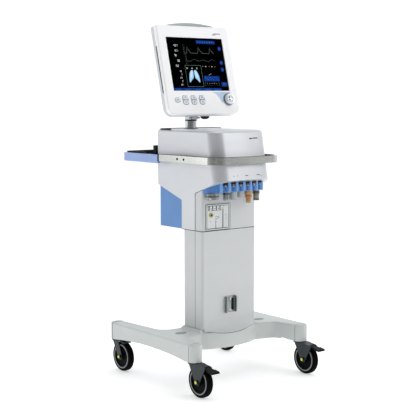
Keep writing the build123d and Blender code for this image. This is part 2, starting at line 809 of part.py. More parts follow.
# --- monitor post and swivel head --------------------------------------------------------------
with BuildPart() as monitor_post:
    with BuildSketch(Plane.XY.offset(tray_top)):
        with Locations((0, post_y)):
            Circle(post_radius + 2.5)
    extrude(amount=8)
    with BuildSketch(Plane.XY.offset(tray_top)):
        with Locations((0, post_y)):
            Circle(post_radius)
    extrude(amount=post_top - tray_top)
    with BuildSketch(Plane.XY.offset(tray_top + 20)):
        with Locations((0, post_y)):
            Circle(spigot_radius + swivel_play)
    extrude(amount=300, mode=Mode.SUBTRACT)
save(monitor_post.part, "monitor_post")

with BuildPart() as swivel_head:
    with BuildSketch(Plane.XY.offset(post_top - 40)):
        with Locations((0, post_y)):
            Circle(spigot_radius)
    extrude(amount=41)
    with BuildSketch(Plane.XY.offset(post_top + 0.6)):
        with Locations((0, tilt_y)):
            RectangleRounded(36, 40, 4)
    extrude(amount=11.4)
    for side in (-1, 1):
        with BuildSketch(Plane.YZ.offset(side * (lug_half_width + 0.6))):
            with BuildLine():
                Line((tilt_y - 12, post_top + 8), (tilt_y - 12, tilt_z))
                ThreePointArc((tilt_y - 12, tilt_z), (tilt_y, tilt_z + 12), (tilt_y + 12, tilt_z))
                Line((tilt_y + 12, tilt_z), (tilt_y + 12, post_top + 8))
                Line((tilt_y + 12, post_top + 8), (tilt_y - 12, post_top + 8))
            make_face()
        extrude(amount=side * 6.4)
    with BuildSketch(Plane.YZ.offset(-lug_half_width - 6)):
        with Locations((tilt_y, tilt_z)):
            Circle(tilt_pin_radius)
    extrude(amount=lug_half_width + 74)
save(swivel_head.part, "swivel_head")

with BuildPart() as tilt_knob:
    with BuildSketch(Plane.YZ.offset(55)):
        with Locations((tilt_y, tilt_z)):
            Circle(22)
            with PolarLocations(24.5, 10):
                Circle(4, mode=Mode.SUBTRACT)
    extrude(amount=18)
    fillet(tilt_knob.faces().sort_by(Axis.X)[-1].edges(), 1.5)
    with BuildSketch(Plane.YZ.offset(lug_half_width + 10)):
        with Locations((tilt_y, tilt_z)):
            Circle(9)
    extrude(amount=46 - lug_half_width)
    with BuildSketch(Plane.YZ.offset(lug_half_width + 9)):
        with Locations((tilt_y, tilt_z)):
            Circle(tilt_pin_radius + swivel_play)
    extrude(amount=60 - lug_half_width, mode=Mode.SUBTRACT)
save(tilt_knob.part, "tilt_knob")

# --- monitor, built on the plane of its screen ----------------------------------------------------
screen_up = (0, sin(radians(face_tilt)), cos(radians(face_tilt)))
face = Plane(
    origin=(0, screen_y, screen_z), x_dir=(1, 0, 0),
    z_dir=(0, -cos(radians(face_tilt)), sin(radians(face_tilt))),
)
face_middle = (face_low + face_high) / 2
face_height = face_high - face_low


def monitor_outline(inset, top_corner, bottom_corner):
    """Front outline of the monitor, moved inwards by inset."""
    with BuildSketch() as outline:
        with Locations((0, face_middle)):
            Rectangle(face_width - 2 * inset, face_height - 2 * inset)
        fillet(outline.vertices().group_by(Axis.Y)[-1], top_corner - inset)
        fillet(outline.vertices().group_by(Axis.Y)[0], bottom_corner - inset)
    return outline.sketch


with BuildPart() as monitor_bezel:
    with BuildSketch(face.offset(-bezel_depth)):
        add(monitor_outline(0, 10, 30))
    extrude(amount=bezel_depth + face_proud)
    fillet(monitor_bezel.faces().sort_by(Axis(face.origin, face.z_dir))[-1].edges(), 5)
    with BuildSketch(face.offset(-bezel_depth - 1)):
        add(monitor_outline(3.5, 10, 30))
    extrude(amount=bezel_depth + 1, mode=Mode.SUBTRACT)
    with BuildSketch(face.offset(-1)):
        RectangleRounded(screen_width, screen_height, 2)
        for x, up in key_places:
            with Locations((x, up)):
                SlotOverall(key_width + 0.8, key_height + 0.8)
        with Locations((knob_x, knob_up)):
            Circle(3.1)
    extrude(amount=face_proud + 3, mode=Mode.SUBTRACT)
save(monitor_bezel.part, "monitor_bezel")

with BuildPart() as top_lip:
    with BuildSketch(face.offset(-24)):
        with BuildLine():
            Line((-118, face_high + 0.4), (102, face_high + 0.4))
            ThreePointArc((102, face_high + 0.4), (-8, face_high + 11), (-118, face_high + 0.4))
        make_face()
    extrude(amount=25)
save(top_lip.part, "top_lip")

with BuildPart() as monitor_rear_shell:
    with BuildSketch(face.offset(-rim_depth)):
        add(monitor_outline(0, 10, 30))
    extrude(amount=rim_depth - bezel_depth - 1.5)
    with BuildSketch(face.offset(-rim_depth)):
        with Locations((0, face_middle + 4)):
            RectangleRounded(300, 292, 24)
    with BuildSketch(face.offset(-monitor_depth)):
        with Locations((0, face_middle + 8)):
            RectangleRounded(244, 226, 20)
    loft()
    with BuildSketch(face.offset(-rim_depth + wall)):
        add(monitor_outline(3.5, 10, 30))
    extrude(amount=rim_depth, mode=Mode.SUBTRACT)
    with BuildSketch(face.offset(-rim_depth + wall + 0.1)):
        with Locations((0, face_middle + 4)):
            RectangleRounded(294, 286, 22)
    with BuildSketch(face.offset(-monitor_depth + wall)):
        with Locations((0, face_middle + 8)):
            RectangleRounded(238, 220, 18)
    loft(mode=Mode.SUBTRACT)
    with BuildSketch(face.offset(-monitor_depth - 1)):
        with Locations((0, face_middle + 60)):
            with GridLocations(64, 12, 3, 5):
                SlotOverall(52, 5)
    extrude(amount=8, mode=Mode.SUBTRACT)
    with BuildSketch(Plane.YZ.offset(-lug_half_width)):
        with BuildLine():
            Line((tilt_y - 9, tilt_z), (84, 1008))
            Line((84, 1008), (103, 1012))
            Line((103, 1012), (tilt_y + 9, tilt_z))
            ThreePointArc((tilt_y + 9, tilt_z), (tilt_y, tilt_z - 9), (tilt_y - 9, tilt_z))
        make_face()
    extrude(amount=2 * lug_half_width)
    with BuildSketch(Plane.YZ.offset(-30)):
        with Locations((tilt_y, tilt_z)):
            Circle(tilt_pin_radius + swivel_play)
    extrude(amount=60, mode=Mode.SUBTRACT)
save(monitor_rear_shell.part, "monitor_rear_shell")

with BuildPart() as screen_glass:
    with BuildSketch(face.offset(-2.2)):
        RectangleRounded(screen_width + 8, screen_height + 8, 3)
    extrude(amount=2)
save(screen_glass.part, "screen_glass")

with BuildPart() as display_module:
    with BuildSketch(face.offset(-13)):
        Rectangle(screen_width + 12, screen_height + 12)
    extrude(amount=10.5)
    with BuildSketch(face.offset(-30)):
        with Locations((0, 10)):
            Rectangle(220, 150)
    extrude(amount=17)
save(display_module.part, "display_module")

for number, (x, up) in enumerate(key_places, start=1):
    with BuildPart() as key:
        with BuildSketch(face.offset(-5)):
            with Locations((x, up)):
                SlotOverall(key_width, key_height)
        extrude(amount=face_proud + key_proud + 5)
        fillet(key.faces().sort_by(Axis(face.origin, face.z_dir))[-1].edges(), 1)
        with BuildSketch(face.offset(-5)):
            with Locations((x, up)):
                SlotOverall(key_width + 2, key_height + 1.6)
        extrude(amount=4.6)
    save(key.part, f"key_{number}")

with BuildPart() as control_knob:
    with BuildSketch(face.offset(face_proud + 1)):
        with Locations((knob_x, knob_up)):
            Circle(20)
    extrude(amount=15)
    fillet(control_knob.faces().sort_by(Axis(face.origin, face.z_dir))[-1].edges(), 3)
    with BuildSketch(face.offset(-7)):
        with Locations((knob_x, knob_up)):
            Circle(3)
    extrude(amount=face_proud + 9)
save(control_knob.part, "control_knob")

# --- casters: fork with its stem, axle bolt, wheel, tyre and brake pedal ------------------------------
axle_z = wheel_radius
crown_top = leg_bottom - 2.0
crown_low = crown_top - 4.0
pedal_reach = trail + 34.0
pedal_z = 107.0
corners = {"fl": (-1, -1), "fr": (1, -1), "rl": (-1, 1), "rr": (1, 1)}

for place, (side, end) in corners.items():
    swivel_x = side * half_track
    swivel_y = end * half_wheelbase
    axle_y = swivel_y - trail
    braked = end < 0
    with BuildPart() as fork:
        with BuildSketch(Plane.XY.offset(crown_low)):
            with Locations((swivel_x, swivel_y)):
                Circle(24)
        extrude(amount=crown_top - crown_low)
        with BuildSketch(Plane.XY.offset(crown_top)):
            with Locations((swivel_x, swivel_y)):
                Circle(11)
        extrude(amount=1.6)
        with BuildSketch(Plane.XY.offset(crown_top)):
            with Locations((swivel_x, swivel_y)):
                Circle(6)
        extrude(amount=42)
        for cheek in (-1, 1):
            with BuildSketch(Plane.YZ.offset(swivel_x + cheek * fork_inside)):
                with Locations((axle_y, axle_z)):
                    Circle(12)
                with Locations((swivel_y - 20, crown_top - 3), (swivel_y + 9, crown_top - 3)):
                    Circle(3)
                if braked:
                    with Locations((swivel_y - pedal_reach, pedal_z)):
                        Circle(6)
                make_hull()
                with Locations((axle_y, axle_z)):
                    Circle(5 + press_gap, mode=Mode.SUBTRACT)
            extrude(amount=cheek * 4)
        with BuildSketch(Plane.YZ.offset(swivel_x - fork_inside - 4)):
            Polygon(
                (swivel_y - 15, crown_top), (axle_y, crown_top), (axle_y - 26, crown_top - 6),
                (axle_y - 26, crown_top - 9), (axle_y, crown_top - 3.5), (swivel_y - 15, crown_low),
                align=None,
            )
        extrude(amount=2 * fork_inside + 8)
        if braked:
            with BuildSketch(Plane.YZ.offset(swivel_x - fork_inside - 1)):
                with Locations((swivel_y - pedal_reach, pedal_z)):
                    Circle(2)
            extrude(amount=2 * fork_inside + 2)
        with BuildSketch(Plane.YZ.offset(swivel_x - fork_inside - 4.6)):
            with Locations((axle_y, axle_z)):
                Circle(5)
        extrude(amount=2 * fork_inside + 9.2)
        for cheek in (-1, 1):
            with BuildSketch(Plane.YZ.offset(swivel_x + cheek * (fork_inside + 4.1))):
                with Locations((axle_y, axle_z)):
                    RegularPolygon(8, 6)
            extrude(amount=cheek * 4)
    save(fork.part, f"caster_fork_{place}")

    with BuildPart() as wheel:
        with BuildSketch(Plane.YZ.offset(swivel_x - wheel_width / 2)):
            with Locations((axle_y, axle_z)):
                Circle(rim_radius - 0.1)
                Circle(5 + swivel_play, mode=Mode.SUBTRACT)
        extrude(amount=wheel_width)
        for face_side in (-1, 1):
            with BuildSketch(Plane.YZ.offset(swivel_x + face_side * (wheel_width / 2 + 0.5))):
                with Locations((axle_y, axle_z)):
                    Circle(rim_radius - 5)
                    Circle(11, mode=Mode.SUBTRACT)
            extrude(amount=-face_side * 3.5, mode=Mode.SUBTRACT)
    save(wheel.part, f"caster_wheel_{place}")

    with BuildPart() as tyre:
        with BuildSketch(Plane.XY.offset(axle_z)):
            with Locations((swivel_x, axle_y - (rim_radius + wheel_radius) / 2)):
                RectangleRounded(wheel_width, wheel_radius - rim_radius, 4)
        revolve(axis=Axis((0, axle_y, axle_z), (1, 0, 0)))
    save(tyre.part, f"caster_tyre_{place}")

    if braked:
        pivot_y = swivel_y - pedal_reach
        with BuildPart() as pedal:
            with BuildSketch(Plane.YZ.offset(swivel_x - fork_inside + 0.5)):
                with Locations((pivot_y, pedal_z)):
                    Circle(4)
                with BuildLine():
                    Polyline(
                        (pivot_y, pedal_z + 4), (pivot_y - 46, pedal_z - 3), (pivot_y - 48, pedal_z - 9),
                        (pivot_y - 26, pedal_z - 8), (pivot_y, pedal_z - 4), (pivot_y, pedal_z + 4),
                    )
                make_face()
            extrude(amount=2 * fork_inside - 1)
            with BuildSketch(Plane.YZ.offset(swivel_x - 17)):
                Polygon(
                    (pivot_y - 24, pedal_z + 0.6), (pivot_y - 46, pedal_z - 3),
                    (pivot_y - 48, pedal_z - 9), (pivot_y - 24, pedal_z - 7), align=None,
                )
            extrude(amount=34)
            with BuildSketch(Plane.YZ.offset(swivel_x - 20)):
                with Locations((pivot_y, pedal_z)):
                    Circle(2 + swivel_play)
            extrude(amount=40, mode=Mode.SUBTRACT)
        save(pedal.part, f"brake_pedal_{place}")
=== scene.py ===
import json
from math import cos, pi, radians, sin, sqrt

import bmesh
import bpy
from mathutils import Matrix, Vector


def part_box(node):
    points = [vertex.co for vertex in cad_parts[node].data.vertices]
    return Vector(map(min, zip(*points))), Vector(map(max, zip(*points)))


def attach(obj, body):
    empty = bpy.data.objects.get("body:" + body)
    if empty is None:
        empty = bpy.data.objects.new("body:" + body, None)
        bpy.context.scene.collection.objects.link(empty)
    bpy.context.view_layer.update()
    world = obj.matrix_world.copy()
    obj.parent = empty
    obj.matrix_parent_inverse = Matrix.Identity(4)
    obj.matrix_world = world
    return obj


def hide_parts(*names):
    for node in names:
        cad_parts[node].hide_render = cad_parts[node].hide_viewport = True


# A trolley ventilator. Metres, +Z up, the front faces -Y, as in the CAD frame.

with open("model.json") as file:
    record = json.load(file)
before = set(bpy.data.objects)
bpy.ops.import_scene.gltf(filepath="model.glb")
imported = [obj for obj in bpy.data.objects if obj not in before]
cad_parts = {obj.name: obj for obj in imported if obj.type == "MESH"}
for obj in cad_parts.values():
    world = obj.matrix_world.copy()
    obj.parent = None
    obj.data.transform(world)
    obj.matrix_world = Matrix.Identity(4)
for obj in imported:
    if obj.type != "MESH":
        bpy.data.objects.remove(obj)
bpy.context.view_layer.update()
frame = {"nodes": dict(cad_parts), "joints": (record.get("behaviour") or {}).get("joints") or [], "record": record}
nodes = frame["nodes"]
joints = {joint["name"]: joint for joint in frame["joints"]}

MM = 0.001
# the colour sockets of a Mix node, which shares its socket names between kinds of value
MIX_FIRST = 6
MIX_SECOND = 7
MIX_RESULT = 2
RELIEF_DEPTH = 0.2 * MM
X_AXIS = Vector((1, 0, 0))
Y_AXIS = Vector((0, 1, 0))
Z_AXIS = Vector((0, 0, 1))


# --- colours and materials ---
def tone(colour):
    """A colour given as 0-255 display values, in the linear form that shaders use."""
    channels = []
    for value in colour:
        share = value / 255
        if share <= 0.04045:
            channels.append(share / 12.92)
        else:
            channels.append(((share + 0.055) / 1.055) ** 2.4)
    return (*channels, 1.0)


def new_object(name, data):
    made = bpy.data.objects.new(name, data)
    bpy.context.scene.collection.objects.link(made)
    return made


def link(tree, source, output, target, socket):
    tree.links.new(source.outputs[output], target.inputs[socket])


def new_node(tree, kind, **values):
    node = tree.nodes.new(kind)
    for key, value in values.items():
        setattr(node, key, value)
    return node


def noise(tree, coordinates, scale, detail=2.0, stretch=(1, 1, 1)):
    """Noise over the piece's own coordinates, stretched along its axes."""
    mapping = new_node(tree, "ShaderNodeMapping")
    mapping.inputs["Scale"].default_value = stretch
    link(tree, coordinates, "Object", mapping, "Vector")
    texture = new_node(tree, "ShaderNodeTexNoise")
    texture.inputs["Scale"].default_value = scale
    texture.inputs["Detail"].default_value = detail
    link(tree, mapping, "Vector", texture, "Vector")
    return texture


def blend_colours(tree, factor_node, factor_output, first, second, low, high):
    """A colour ramp from first to second as the factor goes from low to high."""
    ramp = new_node(tree, "ShaderNodeValToRGB")
    ramp.color_ramp.elements[0].position = low
    ramp.color_ramp.elements[0].color = first
    ramp.color_ramp.elements[1].position = high
    ramp.color_ramp.elements[1].color = second
    link(tree, factor_node, factor_output, ramp, "Fac")
    return ramp


def shade(colour, factor):
    return tuple(min(1.0, channel * factor) for channel in colour[:3]) + (1.0,)


def surface(
    colour, roughness=0.4, metallic=0.0, grain=900, relief=0.02, variation=0.06,
    stretch=(1, 1, 1), coat=0.0, specular=0.5, edge=0.0, glow=0.0,
):
    """A finish with slight colour drift, uneven gloss, a fine grain and wear at its edges."""
    colour = tone(colour)
    material = bpy.data.materials.new("finish")
    material.use_nodes = True
    tree = material.node_tree
    shader = tree.nodes["Principled BSDF"]
    shader.inputs["Metallic"].default_value = metallic
    shader.inputs["Coat Weight"].default_value = coat
    shader.inputs["Coat Roughness"].default_value = 0.12
    shader.inputs["Specular IOR Level"].default_value = specular
    coordinates = new_node(tree, "ShaderNodeTexCoord")

    drift = noise(tree, coordinates, 9, 3)
    base = blend_colours(
        tree, drift, "Fac", shade(colour, 1 - variation), shade(colour, 1 + variation), 0.3, 0.7
    )
    if edge:
        geometry = new_node(tree, "ShaderNodeNewGeometry")
        scuffs = noise(tree, coordinates, 240, 5)
        total = new_node(tree, "ShaderNodeMath", operation="MULTIPLY")
        edge_ramp = blend_colours(
            tree, geometry, "Pointiness", (0, 0, 0, 1), (edge, edge, edge, 1), 0.53, 0.6
        )
        link(tree, edge_ramp, "Color", total, 0)
        link(tree, scuffs, "Fac", total, 1)
        worn = new_node(tree, "ShaderNodeMix", data_type="RGBA")
        link(tree, total, "Value", worn, "Factor")
        tree.links.new(base.outputs["Color"], worn.inputs[MIX_FIRST])
        worn.inputs[MIX_SECOND].default_value = shade(colour, 1.5)
        tree.links.new(worn.outputs[MIX_RESULT], shader.inputs["Base Color"])
    else:
        link(tree, base, "Color", shader, "Base Color")

    smears = noise(tree, coordinates, 35, 4, stretch)
    gloss = new_node(tree, "ShaderNodeMapRange")
    gloss.inputs["To Min"].default_value = max(0.03, roughness - 0.07)
    gloss.inputs["To Max"].default_value = min(1.0, roughness + 0.09)
    link(tree, smears, "Fac", gloss, "Value")
    link(tree, gloss, "Result", shader, "Roughness")

    fine = noise(tree, coordinates, grain, 2, stretch)
    bump = new_node(tree, "ShaderNodeBump")
    bump.inputs["Strength"].default_value = relief
    bump.inputs["Distance"].default_value = RELIEF_DEPTH
    link(tree, fine, "Fac", bump, "Height")
    link(tree, bump, "Normal", shader, "Normal")
    if glow:
        shader.inputs["Emission Color"].default_value = colour
        shader.inputs["Emission Strength"].default_value = glow
    return material


FINISHES = {
    "base_paint": surface((208, 213, 211), 0.42, relief=0.10, variation=0.02, edge=0.2),
    "column_paint": surface((212, 214, 214), 0.42, relief=0.10, variation=0.02, edge=0.15),
    "housing_plastic": surface((212, 214, 218), 0.40, 0.45, relief=0.05, coat=0.08, variation=0.02),
    "frame_paint": surface((54, 58, 61), 0.5, relief=0.12, edge=0.4),
    "cover_blue": surface((98, 148, 208), 0.42, relief=0.10, variation=0.05),
    "panel_blue": surface((72, 128, 196), 0.30, relief=0.05, coat=0.3),
    "handle_blue": surface((158, 184, 238), 0.34, relief=0.05, coat=0.2),
    "black_plastic": surface((8, 8, 10), 0.5, relief=0.12, edge=0.2, specular=0.15),
    "rail_metal": surface((198, 200, 196), 0.18, 1.0, 700, 0.02, stretch=(1, 1, 12)),
    "bracket_steel": surface((150, 156, 156), 0.28, 1.0, 1200, 0.12, stretch=(40, 40, 1)),
    "module_metal": surface((214, 217, 217), 0.36, 0.6, 1200, 0.08, stretch=(1, 1, 40)),
    "post_metal": surface((190, 193, 195), 0.22, 1.0, 1300, 0.10, stretch=(1, 1, 50)),
    "block_metal": surface((170, 172, 175), 0.4, 1.0, 700, 0.2),
    "supply_case": surface((165, 168, 170), 0.35, 1.0, 900, 0.1),
    "battery_case": surface((48, 50, 54), 0.5),
    "board_green": surface((30, 92, 56), 0.35, variation=0.2),
    "inlet_brass": surface((206, 178, 112), 0.28, 1.0),
    "port_plastic": surface((150, 154, 152), 0.2, 0.8, coat=0.2),
    "sensor_plastic": surface((186, 188, 184), 0.3, 0.2),
    "fitting_amber": surface((204, 164, 124), 0.24, 0.6, coat=0.3),
    # monitor_plastic is whiter than the rear shell's plastic and glows faintly: painted light that keeps the bezel
    # bright
    "monitor_plastic": surface((253, 253, 254), 0.36, relief=0.06, variation=0.01, glow=0.07),
    "screen_glass": surface((1, 1, 2), 0.2, variation=0.2, relief=0.01, specular=0.0),
    "display_metal": surface((30, 30, 32), 0.5),
    "lip_plastic": surface((150, 160, 158), 0.3, 0.4, variation=0.05),
    "key_rubber": surface((238, 241, 246), 0.4, relief=0.08),
    "knob_metal": surface((232, 234, 236), 0.26, 0.6, 1500, 0.1),
    "fork_slate": surface((26, 37, 42), 0.34, 0.3, relief=0.08, coat=0.06, edge=0.5),
    "wheel_grey": surface((4, 4, 5), 0.5, relief=0.1, specular=0.05),
    "tyre_black": surface((3, 3, 4), 0.6, relief=0.25, variation=0.2, specular=0.05),
    "pedal_plastic": surface((6, 7, 8), 0.5, relief=0.1, edge=0.2, specular=0.1),
}
# the rear shell keeps the monitor's plastic a little darker and without the painted glow of monitor_plastic
OWN_FINISH = {
    "monitor_rear_shell": surface((222, 226, 232), 0.38, relief=0.06, variation=0.015),
}
for entry in frame["record"]["subparts"]:
    mesh = nodes[entry["node"]].data
    mesh.materials.clear()
    mesh.materials.append(OWN_FINISH.get(entry["node"], FINISHES[entry["material_slot"]]))

# --- camera, lights and floor ---
CAMERA_PLACE = (-2.4795, -3.03364, 1.04037)
CAMERA_HEADING = 0.6865854
CAMERA_DROP = 0.109874
VIEW_ALONG = (0.634, 0.773, 0.0)
camera_data = bpy.data.cameras.new("camera")
camera_data.sensor_width = 36
camera_data.lens = 90.858
camera = new_object("camera", camera_data)
camera.location = CAMERA_PLACE
camera.rotation_euler = (pi / 2 - CAMERA_DROP, 0, -CAMERA_HEADING)
bpy.context.scene.camera = camera

# each light: where it stands, what it aims at, its width and height, and its power
LIGHTS = {
    "key_light": ((1.9, -3.1, 2.3), (0, 0, 0.8), (1.6, 1.8), 25),
    "left_light": ((-3.0, 2.5, 1.6), (0, 0, 0.8), (1.4, 2.2), 15),
    "top_light": ((0.0, -0.4, 3.2), (0, 0, 0), (1.8, 1.8), 12),
}
for name, (place, target, (width, height), power) in LIGHTS.items():
    data = bpy.data.lights.new(name, "AREA")
    data.energy = power
    data.shape = "RECTANGLE"
    data.size = width
    data.size_y = height
    light = new_object(name, data)
    light.location = place
    aim = Vector(target) - Vector(place)
    light.rotation_euler = aim.to_track_quat("-Z", "Y").to_euler()

# a sky that is bright ahead of the camera and darker behind it
world = bpy.data.worlds.new("studio")
world.use_nodes = True
sky = world.node_tree
direction = new_node(sky, "ShaderNodeTexCoord")
facing = new_node(sky, "ShaderNodeVectorMath", operation="DOT_PRODUCT")
facing.inputs[1].default_value = VIEW_ALONG
link(sky, direction, "Generated", facing, 0)
shift = new_node(sky, "ShaderNodeMapRange")
shift.inputs["From Min"].default_value = -1.0
link(sky, facing, "Value", shift, "Value")
glow_ramp = blend_colours(sky, shift, "Result", (0.19, 0.195, 0.20, 1), (1.1, 1.1, 1.1, 1), 0.06, 0.85)
middle_glow = glow_ramp.color_ramp.elements.new(0.30)
middle_glow.color = (0.40, 0.41, 0.42, 1)
link(sky, glow_ramp, "Color", sky.nodes["Background"], "Color")
sky.nodes["Background"].inputs["Strength"].default_value = 1.0
bpy.context.scene.world = world
bpy.context.scene.view_settings.view_transform = "Standard"

# the floor ends a little behind the camera, so that upright metal mirrors the darker sky
NEAR, FAR = -5, 12
floor_mesh = bpy.data.meshes.new("floor")
floor_mesh.from_pydata(
    [(NEAR, NEAR, 0), (FAR, NEAR, 0), (FAR, FAR, 0), (NEAR, FAR, 0)], [], [(0, 1, 2, 3)]
)
floor = new_object("floor", floor_mesh)
floor_mesh.materials.append(surface(
    (252, 252, 252), 0.7, relief=0.02, variation=0.01, specular=0.1, glow=0.42
))

# --- mesh helpers ---
SIDES = ((-1, "left"), (1, "right"))


def in_mm(points):
    """Points given in millimetres, as metres."""
    return [tuple(value * MM for value in point) for point in points]


def box_middle(node):
    low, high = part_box(node)
    return (low + high) / 2


class Place:
    """A flat working plane: origin, x across, y up and z out of it, all in metres."""

    def __init__(self, origin, across, up):
        self.origin = Vector(origin)
        self.across = Vector(across).normalized()
        self.up = Vector(up).normalized()
        self.out = self.across.cross(self.up)

    def at(self, x, y, z=0.0):
        return self.origin + self.across * x + self.up * y + self.out * z

    def moved(self, x, y, z=0.0):
        return Place(self.at(x, y, z), self.across, self.up)


def add_piece(name, shape, body, finish, smooth=35):
    """Makes a shape into a piece with its shading and finish, and lets it ride on a body."""
    bmesh.ops.recalc_face_normals(shape, faces=shape.faces)
    mesh = bpy.data.meshes.new(name)
    shape.to_mesh(mesh)
    shape.free()
    piece = new_object(name, mesh)
    mesh.materials.append(FINISHES[finish])
    for polygon in mesh.polygons:
        polygon.use_smooth = True
    mesh.set_sharp_from_angle(angle=radians(smooth))
    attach(piece, body)
    return piece


def circle_points(radius, steps=32, middle=(0, 0)):
    return [
        (middle[0] + radius * cos(2 * pi * k / steps), middle[1] + radius * sin(2 * pi * k / steps))
        for k in range(steps)
    ]


def arc_points(middle, radius, start, end, steps=8):
    points = []
    for step in range(steps + 1):
        angle = radians(start + (end - start) * step / steps)
        points.append((middle[0] + radius * cos(angle), middle[1] + radius * sin(angle)))
    return points


def rounded_box(width, height, radius, steps=5):
    """Corner points of a rectangle with rounded corners, centred on the plane's origin."""
    radius = min(radius, width / 2 - 1e-5, height / 2 - 1e-5)
    points = []
    for side, end, start in ((1, 1, 0), (-1, 1, 90), (-1, -1, 180), (1, -1, 270)):
        middle = (side * (width / 2 - radius), end * (height / 2 - radius))
        points += arc_points(middle, radius, start, start + 90, steps)
    return points


def grow_prism(shape, place, outline, low, high, bevel=0.0):
    """Adds an outline drawn on a plane, from low to high, with its outer edge rounded."""
    bottom = [shape.verts.new(place.at(x, y, low)) for x, y in outline]
    top = [shape.verts.new(place.at(x, y, high)) for x, y in outline]
    count = len(outline)
    shape.faces.new(bottom[::-1])
    lid = shape.faces.new(top)
    for k in range(count):
        following = (k + 1) % count
        shape.faces.new((bottom[k], bottom[following], top[following], top[k]))
    if bevel:
        bmesh.ops.bevel(
            shape, geom=list(lid.edges), offset=bevel, segments=2, profile=0.5, affect="EDGES"
        )


def prism(name, place, outline, low, high, body, finish, bevel=0.0):
    shape = bmesh.new()
    grow_prism(shape, place, outline, low, high, bevel)
    return add_piece(name, shape, body, finish)


def block(name, place, middle, size, depth, finish, bevel=0.0, body="trolley"):
    """A rounded plate, in millimetres: middle, (width, height, corner, corner steps), depth."""
    width, height, corner, steps = size
    return prism(
        name, place.moved(middle[0] * MM, middle[1] * MM),
        rounded_box(width * MM, height * MM, corner * MM, steps), depth[0] * MM, depth[1] * MM,
        body, finish, bevel * MM,
    )


def grow_lathe(shape, place, profile, steps=40, points_of=circle_points):
    """Turns a profile of (radius, height) points round the plane's normal, and gives its rings."""
    rings = []
    for radius, height in profile:
        if radius < 1e-6:
            rings.append([shape.verts.new(place.at(0, 0, height))])
        else:
            rings.append([
                shape.verts.new(place.at(x, y, height)) for x, y in points_of(radius, steps)
            ])
    for first, second in zip(rings, rings[1:]):
        for k in range(steps):
            following = (k + 1) % steps
            corners = []
            for ring, index in ((first, k), (first, following), (second, following), (second, k)):
                vertex = ring[index] if len(ring) > 1 else ring[0]
                if vertex not in corners:
                    corners.append(vertex)
            if len(corners) > 2:
                shape.faces.new(corners)
    return rings


def lathe(name, place, profile, body, finish, steps=40, smooth=35):
    shape = bmesh.new()
    grow_lathe(shape, place, profile, steps)
    return add_piece(name, shape, body, finish, smooth)


def ring_profile(inner, outer, low, high, soft):
    """Closed profile of a ring with softened outer edges."""
    return [
        (inner, low), (outer - soft, low), (outer, low + soft), (outer, high - soft),
        (outer - soft, high), (inner + soft * 0.6, high), (inner, high - soft * 0.6), (inner, low),
    ]


def band(name, place, radii, heights, finish, soft=0.8, steps=48, body="trolley"):
    """A ring between two radii and two heights over a plane, in millimetres."""
    (inner, outer), (low, high) = in_mm([radii, heights])
    lathe(name, place, ring_profile(inner, outer, low, high, soft * MM), body, finish, steps)


def grow_ribbon(shape, points, width, place, lift, closed=False):
    """A thin printed line along points on a plane."""
    count = len(points)
    sides = []
    for k, (x, y) in enumerate(points):
        before = points[k - 1] if k or closed else points[k]
        after = points[(k + 1) % count] if k + 1 < count or closed else points[k]
        run = Vector((after[0] - before[0], after[1] - before[1]))
        run.normalize()
        offset_x = -run.y * width / 2
        offset_y = run.x * width / 2
        sides.append((
            shape.verts.new(place.at(x + offset_x, y + offset_y, lift)),
            shape.verts.new(place.at(x - offset_x, y - offset_y, lift)),
        ))
    pairs = list(zip(sides, sides[1:]))
    if closed:
        pairs.append((sides[-1], sides[0]))
    for (left, right), (next_left, next_right) in pairs:
        shape.faces.new((left, right, next_right, next_left))


def ribbon(name, points, width, place, lift, body, finish, closed=False):
    shape = bmesh.new()
    grow_ribbon(shape, points, width, place, lift, closed)
    return add_piece(name, shape, body, finish)


def path_sides(points, width, closed):
    """Points either side of a path, with mitred corners."""
    count = len(points)
    sides = []
    for k, (x, y) in enumerate(points):
        here = Vector((x, y))
        runs = []
        if k or closed:
            runs.append((here - Vector(points[k - 1])).normalized())
        if k + 1 < count or closed:
            runs.append((Vector(points[(k + 1) % count]) - here).normalized())
        run = sum(runs, Vector((0, 0))).normalized()
        mitre = width / 2 / max(0.5, run.dot(runs[0]))
        sides.append((
            (x - run.y * mitre, y + run.x * mitre), (x + run.y * mitre, y - run.x * mitre)
        ))
    return sides


def grow_tube(shape, sections, closed=False):
    """Skins a row of sections, each a loop of corners, and caps its ends unless it closes."""
    if closed:
        sections = sections + sections[:1]
    else:
        shape.faces.new(sections[0])
        shape.faces.new(sections[-1][::-1])
    for first, second in zip(sections, sections[1:]):
        for k in range(len(first)):
            following = (k + 1) % len(first)
            shape.faces.new((first[k], first[following], second[following], second[k]))


def wall_strip(name, place, path, width, low, high, finish, closed=False):
    """A strip on the trolley, of even width, that follows a path on a plane, from low to high."""
    shape = bmesh.new()
    sections = []
    for (ax, ay), (bx, by) in path_sides(path, width, closed):
        sections.append([
            shape.verts.new(place.at(ax, ay, low)), shape.verts.new(place.at(ax, ay, high)),
            shape.verts.new(place.at(bx, by, high)), shape.verts.new(place.at(bx, by, low)),
        ])
    grow_tube(shape, sections, closed)
    return add_piece(name, shape, "trolley", finish)


def bowed(front, radius, x):
    """Depth of a bowed front at a distance from its middle."""
    return front + radius - sqrt(radius ** 2 - x ** 2)


def lit(colour, variation=0.1, specular=0.05, glow=0.4):
    return surface(colour, 0.4, variation=variation, specular=specular, glow=glow)


